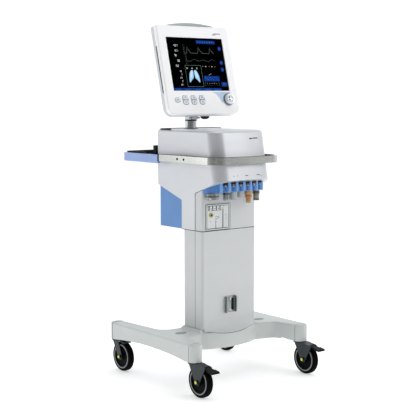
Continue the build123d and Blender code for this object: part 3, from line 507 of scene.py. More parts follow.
FINISHES.update({
    "yellow_cap": surface((226, 222, 70), 0.35, variation=0.08),
    "ring_grey": surface((128, 130, 132), 0.45),
    "mark_grey": surface((52, 56, 60), 0.5, variation=0.15, specular=0.2),
    "swoosh_blue": surface((196, 220, 246), 0.38, variation=0.03),
    "socket_white": surface((240, 241, 240), 0.35),
    "port_yellow": surface((190, 186, 96), 0.35, variation=0.2),
    "collar_orange": surface((196, 126, 80), 0.3, 0.3, variation=0.1),
    "tube_green": surface((176, 172, 116), 0.3, variation=0.15),
    "steel_dark": surface((104, 106, 104), 0.28, 1.0, variation=0.15),
    "steel_bright": surface((210, 212, 212), 0.2, 1.0, variation=0.08),
    "recess_blue": surface((166, 182, 200), 0.4),
    # a lighter copy of panel_blue: painted highlight on the ribs
    "rib_highlight_blue": surface((126, 172, 226), 0.25, relief=0.03, coat=0.4),
    # a darker copy of panel_blue: painted shade in the flutes
    "flute_shade_blue": surface((38, 78, 142), 0.35, relief=0.03),
    "recess_slate": surface((124, 134, 146), 0.4),
    "screen_blue": lit((18, 52, 124), 0.3, 0.0),
    "screen_white": lit((206, 210, 210), 0.05),
    "screen_cyan": lit((150, 200, 236), glow=0.35),
    "screen_grey": lit((96, 102, 100)),
    "screen_green": lit((104, 140, 122)),
    "screen_pale": lit((70, 112, 182), 0.2, 0.0),
})
for name, material in {**FINISHES, **OWN_FINISH}.items():
    material.name = name

# --- monitor ---
glass_low, glass_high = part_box("screen_glass")
knob_joint = joints["control_knob_turn"]
face_out = Vector(knob_joint["axis"]).normalized()
face_up = face_out.cross(X_AXIS)
glass_middle = (glass_low + glass_high) / 2
glass_width = glass_high.x - glass_low.x - 8 * MM
glass_height = 202 * MM
face = Place(glass_middle, X_AXIS, face_up)
GLASS_TOP = 1.05 * MM
FRONT = 4.2 * MM
bezel = face.moved(0, 0, FRONT)
knob_at = Vector(knob_joint["pos_m"]) - glass_middle


def screen_point(across, down):
    """Place on the screen from shares of its width and height, from its top left corner."""
    return ((across - 0.5) * glass_width, (0.5 - down) * glass_height)


def height_over_glass(node):
    return max((vertex.co - glass_middle).dot(face_out) for vertex in nodes[node].data.vertices)


SEGMENTS = {
    "a": ((0, 1), (1, 1)), "b": ((1, 1), (1, 0.5)), "c": ((1, 0.5), (1, 0)), "d": ((1, 0), (0, 0)),
    "e": ((0, 0), (0, 0.5)), "f": ((0, 0.5), (0, 1)), "g": ((0, 0.5), (1, 0.5)),
}
DIGITS = {
    "0": "abcdef", "1": "bc", "2": "abged", "3": "abgcd", "4": "fgbc", "5": "afgcd",
    "6": "afgedc", "7": "abc", "8": "abcdefg", "-": "g",
}


def grow_number(shape, text, across, down, height):
    """Draws generic digits as strokes, left aligned, with the given height in metres."""
    x, y = screen_point(across, down)
    width = height * 0.55
    for mark in text:
        if mark == ".":
            ends = [(x - width * 0.25, y), (x - width * 0.05, y)]
            grow_ribbon(shape, ends, height * 0.16, face, GLASS_TOP)
            x += width * 0.35
            continue
        for name in DIGITS[mark]:
            (ax, ay), (bx, by) = SEGMENTS[name]
            ends = [(x + ax * width, y + ay * height), (x + bx * width, y + by * height)]
            grow_ribbon(shape, ends, height * 0.15, face, GLASS_TOP)
        x += width * 1.55


def grow_panel(shape, left, top, right, bottom, corner=0.1 * MM):
    ax, ay = screen_point(left, top)
    bx, by = screen_point(right, bottom)
    outline = rounded_box(bx - ax, ay - by, corner, 4)
    spot = face.moved((ax + bx) / 2, (ay + by) / 2)
    shape.faces.new([shape.verts.new(spot.at(x, y, GLASS_TOP)) for x, y in outline])


def grow_dash(shape, across, down, left, right, width, lift=GLASS_TOP, rise=0.0):
    """A short stroke on the screen, from left to right of a point, in millimetres."""
    x, y = screen_point(across, down)
    ends = [(x + left * MM, y), (x + right * MM, y + rise * MM)]
    grow_ribbon(shape, ends, width * MM, face, lift)


def screen_layer(name, finish, grow):
    shape = bmesh.new()
    grow(shape)
    add_piece(name, shape, "monitor", finish)


BUTTON_ROWS = (0.19, 0.46, 0.59)
BUTTON_ACROSS = 0.935
TAB_PITCH = 0.174


def blue_areas(shape):
    grow_panel(shape, 0.53, 0.045, 0.865, 0.105)
    grow_panel(shape, 0.575, 0.715, 0.855, 0.815)
    grow_panel(shape, 0.875, 0.83, 0.985, 0.915, corner=2 * MM)
    for k in range(5):
        grow_panel(shape, 0.002 + TAB_PITCH * k, 0.945, 0.170 + TAB_PITCH * k, 0.998)
    for down in BUTTON_ROWS:
        button = face.moved(*screen_point(BUTTON_ACROSS, down))
        oval = [button.at(x, y * 1.15, GLASS_TOP) for x, y in circle_points(7.4 * MM, 28)]
        shape.faces.new([shape.verts.new(point) for point in oval])


def button_marks(shape):
    """Pale symbols on the lit buttons and bars."""
    lift = GLASS_TOP + 0.08 * MM
    for down in BUTTON_ROWS:
        x, y = screen_point(BUTTON_ACROSS, down)
        mark = [(x - 3 * MM, y - 3 * MM), (x, y + 3.4 * MM), (x + 3 * MM, y - 3 * MM)]
        grow_ribbon(shape, mark, 1.4 * MM, face, lift)
    for k in range(5):
        for end in range(3):
            grow_dash(shape, 0.05 + TAB_PITCH * k, 0.972, end * 8, end * 8 + 5, 1.5, lift)
    for k in range(9):
        grow_dash(shape, 0.60 + 0.028 * k, 0.748 + 0.022 * (k % 3), -1.5, 2.5, 1.2, lift, 1.5)
    for k in range(7):
        grow_dash(shape, 0.56 + 0.042 * k, 0.075, -2, 2 + k % 3, 2.0, lift)
    for down in (0.855, 0.885):
        grow_dash(shape, 0.93, down, -8, 7, 1.3, lift)


def white_marks(shape):
    for text, across, down in (
        ("42.7", 0.125, 0.17), ("12.1", 0.12, 0.265), ("78", 0.11, 0.355), ("30", 0.15, 0.455),
        ("152", 0.10, 0.55),
    ):
        grow_number(shape, text, across, down, 7.0 * MM)
    for text, across, down in (
        ("50", 0.17, 0.645), ("5", 0.19, 0.705), ("16.0", 0.15, 0.765), ("1.2", 0.17, 0.83),
        ("10.4", 0.15, 0.895),
    ):
        grow_number(shape, text, across, down, 4.6 * MM)
    for k in range(3):
        grow_number(shape, "00", 0.29 + 0.085 * k, 0.585, 4.2 * MM)
    for k in range(5):
        grow_number(shape, "18"[k % 2] * 2, 0.575 + 0.055 * k, 0.545, 3.0 * MM)
    for k in range(7):
        across = 0.575 + 0.042 * k
        grow_number(shape, "1234567"[k], across, 0.865, 3.4 * MM)
        grow_number(shape, "-", across + 0.01, 0.905, 3.2 * MM)
    for across, down in ((0.675, 0.700), (0.705, 0.685)):
        grow_dash(shape, across, down, 0, 2, 1.6, rise=2)


def grey_marks(shape):
    trace = [
        (0.30, 0.29), (0.335, 0.29), (0.355, 0.175), (0.375, 0.235), (0.41, 0.288), (0.53, 0.29),
        (0.556, 0.17), (0.578, 0.24), (0.612, 0.288), (0.735, 0.29), (0.758, 0.175), (0.78, 0.24),
        (0.815, 0.288),
    ]
    grow_ribbon(shape, [screen_point(*point) for point in trace], 1.2 * MM, face, GLASS_TOP)
    for top, bottom, across in ((0.14, 0.30, 0.30), (0.32, 0.48, 0.315)):
        for k in range(5):
            grow_dash(shape, across - 0.012, top + (bottom - top) * k / 4, -2, 2.2, 0.8)
        ends = [screen_point(across, top), screen_point(across, bottom)]
        grow_ribbon(shape, ends, 0.4 * MM, face, GLASS_TOP)
    wave = []
    for k in range(64):
        share = k / 63
        ripple = 0.022 * sin(share * 6 * pi) * (1 if sin(share * 3 * pi) > 0 else 0.5)
        wave.append(screen_point(0.33 + 0.48 * share, 0.425 + ripple))
    grow_ribbon(shape, wave, 0.6 * MM, face, GLASS_TOP)


def green_marks(shape):
    corners = ((0.268, 0.52), (0.55, 0.52), (0.55, 0.918), (0.268, 0.918))
    outline = [screen_point(across, down) for across, down in corners]
    grow_ribbon(shape, outline, 1.0 * MM, face, GLASS_TOP, closed=True)


LUNG_MIDDLE = 0.405
LUNG_REACH = 0.093
LUNG_TOP = 0.615
LUNG_LENGTH = 0.225


def grow_lobes(shape, outline, lift):
    for side in (-1, 1):
        verts = []
        for share, down in outline:
            x, y = screen_point(LUNG_MIDDLE + side * LUNG_REACH * share, LUNG_TOP + LUNG_LENGTH * down)
            verts.append(shape.verts.new(face.at(x, y, lift)))
        shape.faces.new(verts if side < 0 else verts[::-1])


def lungs(shape):
    """Two rounded lobes either side of a dark windpipe."""
    grow_lobes(shape, [
        (0.07, 0.04), (0.20, -0.03), (0.42, -0.02), (0.62, 0.08), (0.80, 0.26), (0.93, 0.50),
        (1.0, 0.76), (1.0, 0.98), (0.88, 1.0), (0.70, 0.90), (0.46, 0.76), (0.22, 0.66),
        (0.12, 0.50), (0.07, 0.26),
    ], GLASS_TOP + 0.03 * MM)


def lung_shine(shape):
    grow_lobes(shape, [
        (0.22, 0.06), (0.40, 0.08), (0.58, 0.26), (0.70, 0.50), (0.60, 0.66), (0.42, 0.52),
        (0.28, 0.30),
    ], GLASS_TOP + 0.06 * MM)


screen_layer("screen_blue_areas", "screen_blue", blue_areas)
screen_layer("screen_button_marks", "screen_pale", button_marks)
screen_layer("screen_white_marks", "screen_white", white_marks)
screen_layer("screen_grey_marks", "screen_grey", grey_marks)
screen_layer("screen_green_frame", "screen_green", green_marks)
screen_layer("screen_lungs", "screen_cyan", lungs)
screen_layer("screen_lung_shine", "screen_white", lung_shine)

# printed areas on the bezel: the pale swoosh round the knob and the links behind the keys
knob_x, knob_y = knob_at.dot(X_AXIS), knob_at.dot(face_up)
swoosh = in_mm([(-74, 29), (18, 29)]) + arc_points((0, 0), 27.5 * MM, 58, 206)
swoosh += in_mm([(-31, -12), (-42, 6), (-56, 21)])
prism(
    "bezel_swoosh", bezel.moved(knob_x, knob_y), swoosh, -0.3 * MM, 0.12 * MM, "monitor",
    "swoosh_blue",
)
key_places = []
for number in range(1, 8):
    middle = box_middle(f"key_{number}") - glass_middle
    key_places.append((middle.dot(X_AXIS), middle.dot(face_up)))
for number, (first, second) in enumerate(((1, 2), (3, 4), (5, 6)), start=1):
    x, y = ((a + b) / 2 for a, b in zip(key_places[first], key_places[second]))
    shape = bmesh.new()
    for end in (-1, 1):
        patch = in_mm([
            (9 * end, 7.5), (9 * end, -7.5), (14.6 * end, -5.6), (16.4 * end, 0), (14.6 * end, 5.6),
        ])
        grow_prism(shape, bezel.moved(x, y), patch[::-end], -0.3 * MM, 0.1 * MM)
    add_piece(
        f"key_link_{number}", shape, "monitor", "swoosh_blue",
    )
key_slot = rounded_box(25.4 * MM, 16.6 * MM, 8.3 * MM, 7)
for number, (x, y) in enumerate(key_places, start=1):
    ribbon(
        f"key_gap_{number}", key_slot, 1.5 * MM, bezel.moved(x, y), 0.16 * MM, "monitor",
        "mark_grey", closed=True,
    )

# dark marks on the keys, riding with each key
KEY_MARKS = (
    ((-3.4, -3.0), (-3.4, 3.0), (0.8, -1.6), (3.4, 3.2)),
    ((-4.0, 0.6), (-1.4, 2.4), (1.4, 2.4), (4.0, 0.6)),
    ((-3.6, -1.6), (-1.2, 1.4), (1.2, -1.0), (3.6, 1.6)),
    ((-3.2, 0.0), (0.0, 2.4), (3.2, 0.0), (0.0, -2.0)),
    ((-3.6, -1.4), (-1.2, -1.4), (1.2, 1.6), (3.6, 1.6)),
    ((-3.0, -1.8), (-3.0, 1.8), (3.0, 1.8), (3.0, -1.8)),
    ((-3.4, 1.6), (0.0, -1.6), (3.4, 1.6)),
)
for number, ((x, y), mark) in enumerate(zip(key_places, KEY_MARKS), start=1):
    ribbon(
        f"key_mark_{number}", in_mm(mark), 2.0 * MM, face.moved(x, y),
        height_over_glass(f"key_{number}") + 0.08 * MM, f"key_{number}", "mark_grey",
    )

# control knob: knurled side, dished top and a finger dimple, over a blue-grey ring
KNOB_RADIUS = 19.9 * MM
KNOB_LOW = 5.2 * MM
KNOB_RIDGES = 36
KNOB_STEPS = KNOB_RIDGES * 4
GRIP_SHARE = 0.95
RIDGE_DEPTH = 0.018
knob_top = height_over_glass("control_knob")
knob_plane = face.moved(knob_x, knob_y)


def knurled_points(radius, steps):
    """A circle, fluted where it is wide enough to belong to the grip."""
    if radius < GRIP_SHARE * KNOB_RADIUS - 0.01 * MM:
        return circle_points(radius, steps)
    points = []
    for k in range(steps):
        angle = 2 * pi * k / steps
        reach = radius * (1 - RIDGE_DEPTH + RIDGE_DEPTH * cos(KNOB_RIDGES * angle))
        points.append((reach * cos(angle), reach * sin(angle)))
    return points


profile = [(0.90 * KNOB_RADIUS, KNOB_LOW), (KNOB_RADIUS, KNOB_LOW + 1.2 * MM)]
for share, sunk in (
    (1.0, 3.4), (GRIP_SHARE, 1.2), (0.84, 0), (0.66, 0.2), (0.55, 1.4), (0.25, 2.2), (0.0, 2.4),
):
    profile.append((share * KNOB_RADIUS, knob_top - sunk * MM))
shape = bmesh.new()
rings = grow_lathe(shape, knob_plane, profile, KNOB_STEPS, knurled_points)
shape.faces.new(rings[0][::-1])
knob_piece = add_piece("control_knob_turned", shape, "control_knob", "knob_metal", smooth=30)
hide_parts("control_knob")
lathe(
    "knob_stem", knob_plane, in_mm([(0, 2), (3, 2), (3, 6), (0, 6)]), "control_knob", "steel_dark",
)
knob_seat = knob_plane.moved(0, 0, FRONT)
band(
    "knob_gap", knob_seat, (18.5, 21.4), (-0.3, 1.5), "black_plastic", soft=0.3, steps=56,
    body="monitor",
)
band(
    "knob_ring", knob_seat, (20.6, 25.5), (-0.3, 1.4), "recess_blue", steps=56,
    body="monitor",
)
for number, (across, up, reach, finish) in enumerate((
    (-5, 6, 4.4, "steel_dark"), (5, 4, 3.6, "steel_bright"), (-4, -5, 3.6, "steel_dark"),
), start=1):
    lathe(
        f"knob_grip_{number}", knob_plane.moved(across * MM, up * MM, knob_top - 2.6 * MM),
        in_mm([(reach, 0), (reach * 0.9, 0.9), (reach * 0.5, 1.5), (0, 1.7)]),
        "control_knob", finish, steps=24,
    )

# dark slits along both sides of the monitor, and two plain marks on the bezel
VENT_SLITS = 24
VENT_PITCH = 7.3 * MM
bezel_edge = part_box("monitor_bezel")[1].x + 0.05 * MM
for side, label in SIDES:
    shape = bmesh.new()
    along = Place(face.at(side * bezel_edge, -19 * MM, -12.3 * MM), face_up, face_out * side * -1)
    for k in range(VENT_SLITS):
        slit = rounded_box(6.6 * MM, 3.8 * MM, 0.8 * MM, 2)
        place = along.moved((k - (VENT_SLITS - 1) / 2) * VENT_PITCH, 0)
        grow_prism(shape, place, slit, -1.2 * MM, 0.25 * MM)
    add_piece(f"monitor_vent_{label}", shape, "monitor", "black_plastic")
for number, (x, y, width) in enumerate(((97, 115, 18), (112, 119, 34)), start=1):
    block(
        f"bezel_bar_{number}", bezel, (x, y), (width, 2.6, 0.9, 2), (-0.3, 0.1), "mark_grey",
        body="monitor",
    )

# --- monitor post and swivel head ---
upper_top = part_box("housing_upper_shell")[1]
post_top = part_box("monitor_post")[1].z
post_middle = box_middle("monitor_post")
post_place = Place((post_middle.x, post_middle.y, 0), X_AXIS, Y_AXIS)
band(
    "post_foot_ring", post_place.moved(0, 0, upper_top.z), (21.1, 28), (-0.3, 3), "steel_dark",
    1.4, 56,
)
band(
    "post_collar", post_place.moved(0, 0, post_top), (21.1, 22.6), (-5, -0.4), "black_plastic",
    soft=0.6, steps=56,
)
for side, label in SIDES:
    screw = Place((side * 22 * MM, post_middle.y - 22 * MM, post_top + 6.4 * MM), X_AXIS, Z_AXIS)
    profile = [(0, -1), (3.2, -1), (3.2, 0.8), (2.6, 1.4), (1.4, 1.4), (1.2, 0.4), (0, 0.4)]
    lathe(
        f"head_screw_{label}", screw, in_mm(profile), "swivel_head", "steel_dark",
        steps=24,
    )

# --- column and housing trim ---
GROUND = Place((0, 0, 0), X_AXIS, Y_AXIS)
COLUMN_SIDE = 126 * MM
COLUMN_FRONT = -120 * MM
COLUMN_EDGE = 9 * MM
JOINT_Y = -77.6 * MM
COLUMN_TOP = 548 * MM
COLUMN_FOOT = 192 * MM
SEAM_WIDTH = 1.5 * MM

# dark gaskets in the joints between the covers
edge_x = COLUMN_SIDE - COLUMN_EDGE
edge_y = COLUMN_FRONT + COLUMN_EDGE
around = [(-COLUMN_SIDE, 0), (-COLUMN_SIDE, edge_y)]
around += arc_points((-edge_x, edge_y), COLUMN_EDGE, 180, 270)
around += arc_points((edge_x, edge_y), COLUMN_EDGE, 270, 360)
around.append((COLUMN_SIDE, 0))
wall_strip(
    "column_joint_gasket", GROUND, around, 1.2 * MM, COLUMN_TOP - 0.8 * MM, COLUMN_TOP + 0.9 * MM,
    "black_plastic",
)
for side, label in SIDES:
    flank = Place((side * COLUMN_SIDE, 0, 0), Y_AXIS * side, Z_AXIS)
    seam_x = side * JOINT_Y
    wall_strip(
        f"column_seam_{label}", flank, [(seam_x, COLUMN_FOOT + MM), (seam_x, COLUMN_TOP - MM)],
        SEAM_WIDTH, -1.2 * MM, 0.12 * MM, "mark_grey",
    )
    path = [(seam_x, COLUMN_TOP + MM), (seam_x, 678 * MM)]
    path += in_mm([(side * -81, 684.6), (side * -122, 699.6)])
    wall_strip(
        f"upper_seam_{label}", flank, path, SEAM_WIDTH, -1.4 * MM, 0.12 * MM,
        "mark_grey",
    )

# plain printed bars on the leaning, slightly bowed front of the housing
HOUSING_BOW = 996 * MM
HOUSING_LEAN = 0.1914
HOUSING_FACE = -189 * MM
HOUSING_TOP = 893 * MM


def front_spot(x, z):
    """Plane on the housing's front at a distance from the middle and a height."""
    y = bowed(HOUSING_FACE - HOUSING_LEAN * (HOUSING_TOP - z), HOUSING_BOW, x)
    return Place((x, y, z), (1, x / HOUSING_BOW, 0), (0, HOUSING_LEAN, 1))


for number, (x, z, width, height) in enumerate((
    (-60, 750, 3, 3), (-44, 750, 3, 3), (-2, 750, 13, 2.4), (54, 750, 17, 2.4), (68, 746, 3, 3),
    (38, 879, 13, 4.6), (60, 880, 25, 3.6),
), start=1):
    block(
        f"housing_mark_{number}", front_spot(x * MM, z * MM), (0, 0), (width, height, 1, 3),
        (-1, 0.15), "mark_grey",
    )

# a dark strip behind the rail whose top shows as a thin line of painted shadow between rail and housing, the
# rail's screws and its end caps
rail_low, rail_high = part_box("band_rail")
rail_middle_z = (rail_low.z + rail_high.z) / 2
RAIL_SHADOW_CORNER = 41.6 * MM
RAIL_SHADOW_FRONT = -217.6 * MM
RAIL_SHADOW_BOW = 8 * MM
RAIL_SHADOW_REAR = 90 * MM
rail_shadow_half = rail_high.x - 10.4 * MM
corner_x = rail_shadow_half - RAIL_SHADOW_CORNER
corner_y = RAIL_SHADOW_FRONT + RAIL_SHADOW_CORNER
rail_shadow_path = [(-rail_shadow_half, RAIL_SHADOW_REAR)]
rail_shadow_path += arc_points((-corner_x, corner_y), RAIL_SHADOW_CORNER, 180, 262, 12)
for k in range(13):
    x = (k - 6) / 6 * (corner_x - 4 * MM)
    rail_shadow_path.append((x, RAIL_SHADOW_FRONT - RAIL_SHADOW_BOW * (1 - (x / rail_shadow_half) ** 2) + 0.6 * MM))
rail_shadow_path += arc_points((corner_x, corner_y), RAIL_SHADOW_CORNER, 278, 360, 12)
rail_shadow_path.append((rail_shadow_half, RAIL_SHADOW_REAR))
# black strip standing 0.9 mm above the rail: painted shadow
wall_strip(
    "rail_painted_shadow", GROUND, rail_shadow_path, 2 * MM, rail_low.z + 1 * MM, rail_high.z + 0.9 * MM,
    "black_plastic",
)
for side, label in SIDES:
    for number, y in enumerate((-17 * MM, -55 * MM), start=1):
        screw = Place((side * (rail_high.x - 1.6 * MM), y, rail_middle_z), Y_AXIS * side, Z_AXIS)
        lathe(
            f"rail_screw_{label}_{number}", screw,
            in_mm([
                (0, -6), (2.5, -6), (2.5, 1.7), (4.2, 1.7), (4.2, 2.6), (3.4, 3.2), (1.8, 3.2),
                (1.6, 1.8), (0, 1.8),
            ]),
            "trolley", "black_plastic", steps=24,
        )
    end = Place((side * (rail_high.x - 5.6 * MM), rail_high.y, rail_middle_z), X_AXIS, Z_AXIS)
    cap = rounded_box(12 * MM, rail_high.z - rail_low.z + 3 * MM, 1.6 * MM, 3)
    prism(f"rail_end_{label}", end, cap, -0.5 * MM, 7 * MM, "trolley", "black_plastic", 0.5 * MM)

# a dark strip that stands along the rear of the top face: a painted reflection of the darker surroundings at its
# rim
REFLECTION_INSET = 7 * MM
REFLECTION_BEND = 14 * MM
REFLECTION_LENGTH = 70 * MM
rear_y = upper_top.y - REFLECTION_INSET
side_x = upper_top.x - REFLECTION_INSET
reflection_path = [(-side_x, rear_y - REFLECTION_LENGTH)]
reflection_path += arc_points((-side_x + REFLECTION_BEND, rear_y - REFLECTION_BEND), REFLECTION_BEND, 180, 90)
reflection_path += arc_points((side_x - REFLECTION_BEND, rear_y - REFLECTION_BEND), REFLECTION_BEND, 90, 0)
reflection_path.append((side_x, rear_y - REFLECTION_LENGTH))
# black strip as a painted dark reflection along the rim
wall_strip(
    "top_painted_reflection", Place((0, 0, upper_top.z), X_AXIS, Y_AXIS), reflection_path, 4.4 * MM, -3 * MM,
    2.2 * MM, "black_plastic",
)

# --- connector panel: a nozzle in each flute under a dark disc of painted shade, ribs between the flutes in a lighter blue as painted highlight, and a darker blue strip of painted shade in each flute ---
FLUTES = 6
FLUTE_PITCH = 32 * MM
PANEL_FRONT = -201 * MM
PANEL_BOW = (96 ** 2 + 12 ** 2) / 24 * MM
ALCOVE_LOW = 713 * MM
RIB_LOW = 691.5 * MM
RIB_HIGH = 727 * MM
RIB_RADIUS = 5.2 * MM
RIB_SLOPE = 0.156
RIB_SLOPE_FROM = 195 * MM


def flute_place(k, behind, z=0.0):
    """Plane a little behind the bowed panel front, at a flute, or at a rib for half numbers."""
    x = FLUTE_PITCH * (k - (FLUTES - 1) / 2)
    return Place((x, bowed(PANEL_FRONT, PANEL_BOW, x) + behind, z), X_AXIS, Y_AXIS)


for k in range(FLUTES):
    spot = flute_place(k, 1.5 * MM, ALCOVE_LOW)
    lathe(
        f"nozzle_{k + 1}", spot,
        in_mm([(0, -1), (4.6, -1), (4.6, 2), (3.2, 3), (3.2, 9), (4.2, 9.6), (4.2, 13), (0, 13)]),
        "trolley", "steel_bright", steps=24,
    )
    band(
        f"nozzle_collar_{k + 1}", spot, (3.25, 4.8), (4, 7),
        "collar_orange" if k % 3 == 1 else "steel_dark", 0.6, 24,
    )
    # black disc over each nozzle at the top of its alcove: painted shade under the housing's overhang
    lathe(
        f"alcove_painted_shade_{k + 1}", spot, in_mm([(0, 8), (8.8, 8), (9.4, 9), (9.4, 12), (0, 12)]),
        "trolley", "black_plastic", steps=32,
    )
# ribs in the lighter blue of painted highlight
for k in range(FLUTES + 1):
    spot = flute_place(k - 0.5, 1.6 * MM)
    low = RIB_LOW - RIB_SLOPE * (spot.origin.y - 1.6 * MM + RIB_SLOPE_FROM)
    lathe(
        f"panel_rib_{k + 1}", spot,
        [(0, low), (RIB_RADIUS - 2 * MM, low), (RIB_RADIUS, low + 2.4 * MM),
         (RIB_RADIUS, RIB_HIGH), (0, RIB_HIGH)],
        "trolley", "rib_highlight_blue", steps=28,
    )
# dark blue strips deep in each flute: painted shade
flute_shade_low = RIB_LOW + 4 * MM
flute_shade_high = ALCOVE_LOW - 2 * MM
for k in range(FLUTES):
    lathe(
        f"flute_painted_shade_{k + 1}", flute_place(k, 6.4 * MM),
        [(0, flute_shade_low), (5 * MM, flute_shade_low), (5 * MM, flute_shade_high), (0, flute_shade_high)],
        "trolley", "flute_shade_blue", steps=24,
    )

# bands on the fittings under the panel, given by radii and heights over the floor
PORT_RADIUS = 11 * MM
ports_low, ports_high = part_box("breathing_ports")
port_y = (ports_low.y + ports_high.y) / 2
left_port = Place((ports_low.x + PORT_RADIUS, port_y, 0), X_AXIS, Y_AXIS)
right_port = Place((ports_high.x - PORT_RADIUS, port_y, 0), X_AXIS, Y_AXIS)
amber = Place((box_middle("gas_fitting").x, port_y, 0), X_AXIS, Y_AXIS)
valve_at = box_middle("expiratory_valve")
valve = Place((valve_at.x, valve_at.y, 0), X_AXIS, Y_AXIS)
for name, spot, radii, heights, finish in (
    ("left_port_lip", left_port, (11.05, 12.2), (680, 687), "steel_dark"),
    ("left_port_bead", left_port, (11.05, 11.7), (661, 664), "steel_bright"),
    ("right_port_lip", right_port, (11.05, 12.6), (676, 686), "steel_dark"),
    ("right_port_band", right_port, (11.05, 11.9), (664, 668), "tube_green"),
    ("right_port_bead", right_port, (11.05, 11.9), (654, 658), "steel_dark"),
    ("amber_collar", amber, (9.05, 12.5), (664, 673), "collar_orange"),
    ("amber_tube_band", amber, (9.05, 10.0), (647, 652), "tube_green"),
    ("amber_thread_1", amber, (9.05, 9.8), (655, 657), "collar_orange"),
    ("amber_thread_2", amber, (9.05, 9.8), (659, 661), "collar_orange"),
    ("valve_band", valve, (22.05, 23.2), (674, 679), "steel_dark"),
    ("valve_lip", valve, (11.1, 14.0), (660.6, 664), "steel_bright"),
):
    band(name, spot, radii, heights, finish, 0.5 if "thread" in name else 0.8)
for side, label in SIDES:
    ear = valve.moved(side * 19 * MM, -12 * MM)
    band(f"valve_ear_{label}", ear, (0.5, 4.4), (666, 674), "steel_bright")

# --- module plate in the upper column ---
plate_middle = box_middle("module_plate")
plate_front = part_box("module_plate")[0].y
plate = Place((plate_middle.x, plate_front, plate_middle.z), X_AXIS, Z_AXIS)
SOCKET_ROW = 33
block("module_socket_bed", plate, (-8, SOCKET_ROW), (68, 18, 1.6, 3), (-5, -1.9), "black_plastic")
for number, x in enumerate((-33, -16, 1, 18), start=1):
    block(
        f"module_socket_{number}", plate, (x, SOCKET_ROW), (12.6, 15, 1.6, 3), (-4, -0.6),
        "socket_white", 0.8,
    )
    block(
        f"module_socket_hole_{number}", plate, (x + 1, SOCKET_ROW - 2), (4, 5, 1.2, 3),
        (-1, -0.4), "mark_grey", 0.2,
    )
for name, width, height, thickness, low, high in (
    ("module_rim", 112, 93, 1.6, -1.0, 0.12), ("module_inner_rim", 101.2, 82.4, 1.8, -3.4, -0.9),
):
    wall_strip(
        name, plate, rounded_box(width * MM, height * MM, 2 * MM, 3), thickness * MM, low * MM,
        high * MM, "mark_grey", closed=True,
    )
port = plate.moved(-30 * MM, 8 * MM)
profile = [(0, -8), (8.6, -8), (8.6, -1.2), (7.6, -0.4), (5.4, -0.4), (5.0, -3.5), (0, -3.5)]
lathe("module_port", port, in_mm(profile), "trolley", "port_yellow", steps=36)
profile = [(0, -5), (2.6, -5), (2.6, -1.4), (1.8, -0.8), (0, -0.8)]
lathe("module_port_core", port, in_mm(profile), "trolley", "black_plastic", steps=24)
for number, (x, y, width) in enumerate((
    (-2, 2, 22), (-6, -6, 14), (4, -3, 8), (-34, -14, 5), (-6, -18, 5),
), start=1):
    block(
        f"module_mark_{number}", plate, (x, y), (width, 1.3, 0.5, 2), (-3.6, -2.7), "mark_grey",
    )
for name, middle, size, high in (
    ("module_divider", (-9, -28), (1.0, 34, 0.4, 2), -2.3),
    ("module_hinge_line", (24.2, 0), (1.2, 84, 0.5, 2), -2.0),
):
    block(name, plate, middle, size, (-4, high), "mark_grey")

# --- flared foot of the column cover, which laps over the bowed crossbar ---
SKIRT_HALF = 117 * MM
SKIRT_REACH = 31 * MM
SKIRT_TOP = 228 * MM
SKIRT_COLUMNS = 32
SKIRT_ROWS = 10
SKIRT_CURVE = 1.8
skirt_front = COLUMN_FRONT + 0.4 * MM
skirt_back = COLUMN_FRONT + 6 * MM


def skirt_station(column):
    """Place across the foot, how far it bows there, and the height of its lower edge."""
    across = column / SKIRT_COLUMNS * 2 - 1
    bow = 1 - across ** 2
    return across * SKIRT_HALF, bow, (188 - 12 * bow) * MM


shape = bmesh.new()
sections = []
for column in range(SKIRT_COLUMNS + 1):
    x, bow, low_z = skirt_station(column)
    top_z = SKIRT_TOP - 10 * MM * (1 - bow)
    low_y = skirt_front - (0.6 * MM + SKIRT_REACH) * bow
    line = [
        (skirt_back, low_z - 2.0 * MM), (low_y + 4 * MM, low_z - 2.8 * MM),
        (low_y + 1.2 * MM, low_z - 2.2 * MM),
    ]
    for row in range(SKIRT_ROWS + 1):
        share = row / SKIRT_ROWS
        y = skirt_front - 0.6 * MM * bow - SKIRT_REACH * bow * (1 - share) ** SKIRT_CURVE
        line.append((y, low_z + (top_z - low_z) * share))
    line.append((skirt_back, top_z))
    sections.append([shape.verts.new((x, y, z)) for y, z in line])
grow_tube(shape, sections)
add_piece("column_skirt", shape, "trolley", "column_paint", smooth=50)
# a dark strip under the lower edge of the flared foot
shape = bmesh.new()
sections = []
for column in range(SKIRT_COLUMNS + 1):
    x, bow, low_z = skirt_station(column)
    low_y = skirt_front - (0.6 * MM + SKIRT_REACH) * bow
    corners = in_mm([(1.4, 1.6), (1.4, 4.2), (6, 4.2), (6, 1.6)])
    sections.append([shape.verts.new((x, low_y + depth, low_z - fall)) for depth, fall in corners])
grow_tube(shape, sections)
add_piece("skirt_dark_line", shape, "trolley", "mark_grey")

# --- bracket on the column ---
bracket_middle = box_middle("accessory_bracket")
bracket_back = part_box("accessory_bracket")[1].y
bracket = Place((bracket_middle.x, bracket_back, bracket_middle.z), X_AXIS, Z_AXIS)
block("bracket_slot_shadow", bracket, (11, 0), (9, 44, 2.7, 4), (0.2, 4.0), "black_plastic")
block("bracket_edge_shadow", bracket, (-20, 0), (5, 54, 1.5, 4), (0.2, 4.0), "black_plastic")
for end, label in ((-1, "low"), (1, "high")):
    lathe(
        f"bracket_screw_{label}", bracket.moved(0, end * 20 * MM, 2.5 * MM),
        in_mm([
            (0, -5), (2.5, -5), (2.5, 0), (4.4, 0), (4.4, 1.6), (3.6, 2.3), (1.9, 2.3), (1.7, 0.8),
            (0, 0.8),
        ]),
        "trolley", "steel_bright", steps=28,
    )
block("bracket_tongue", bracket, (-9, 0), (17, 50, 1.5, 3), (2.6, 4.6), "bracket_steel", bevel=0.5)

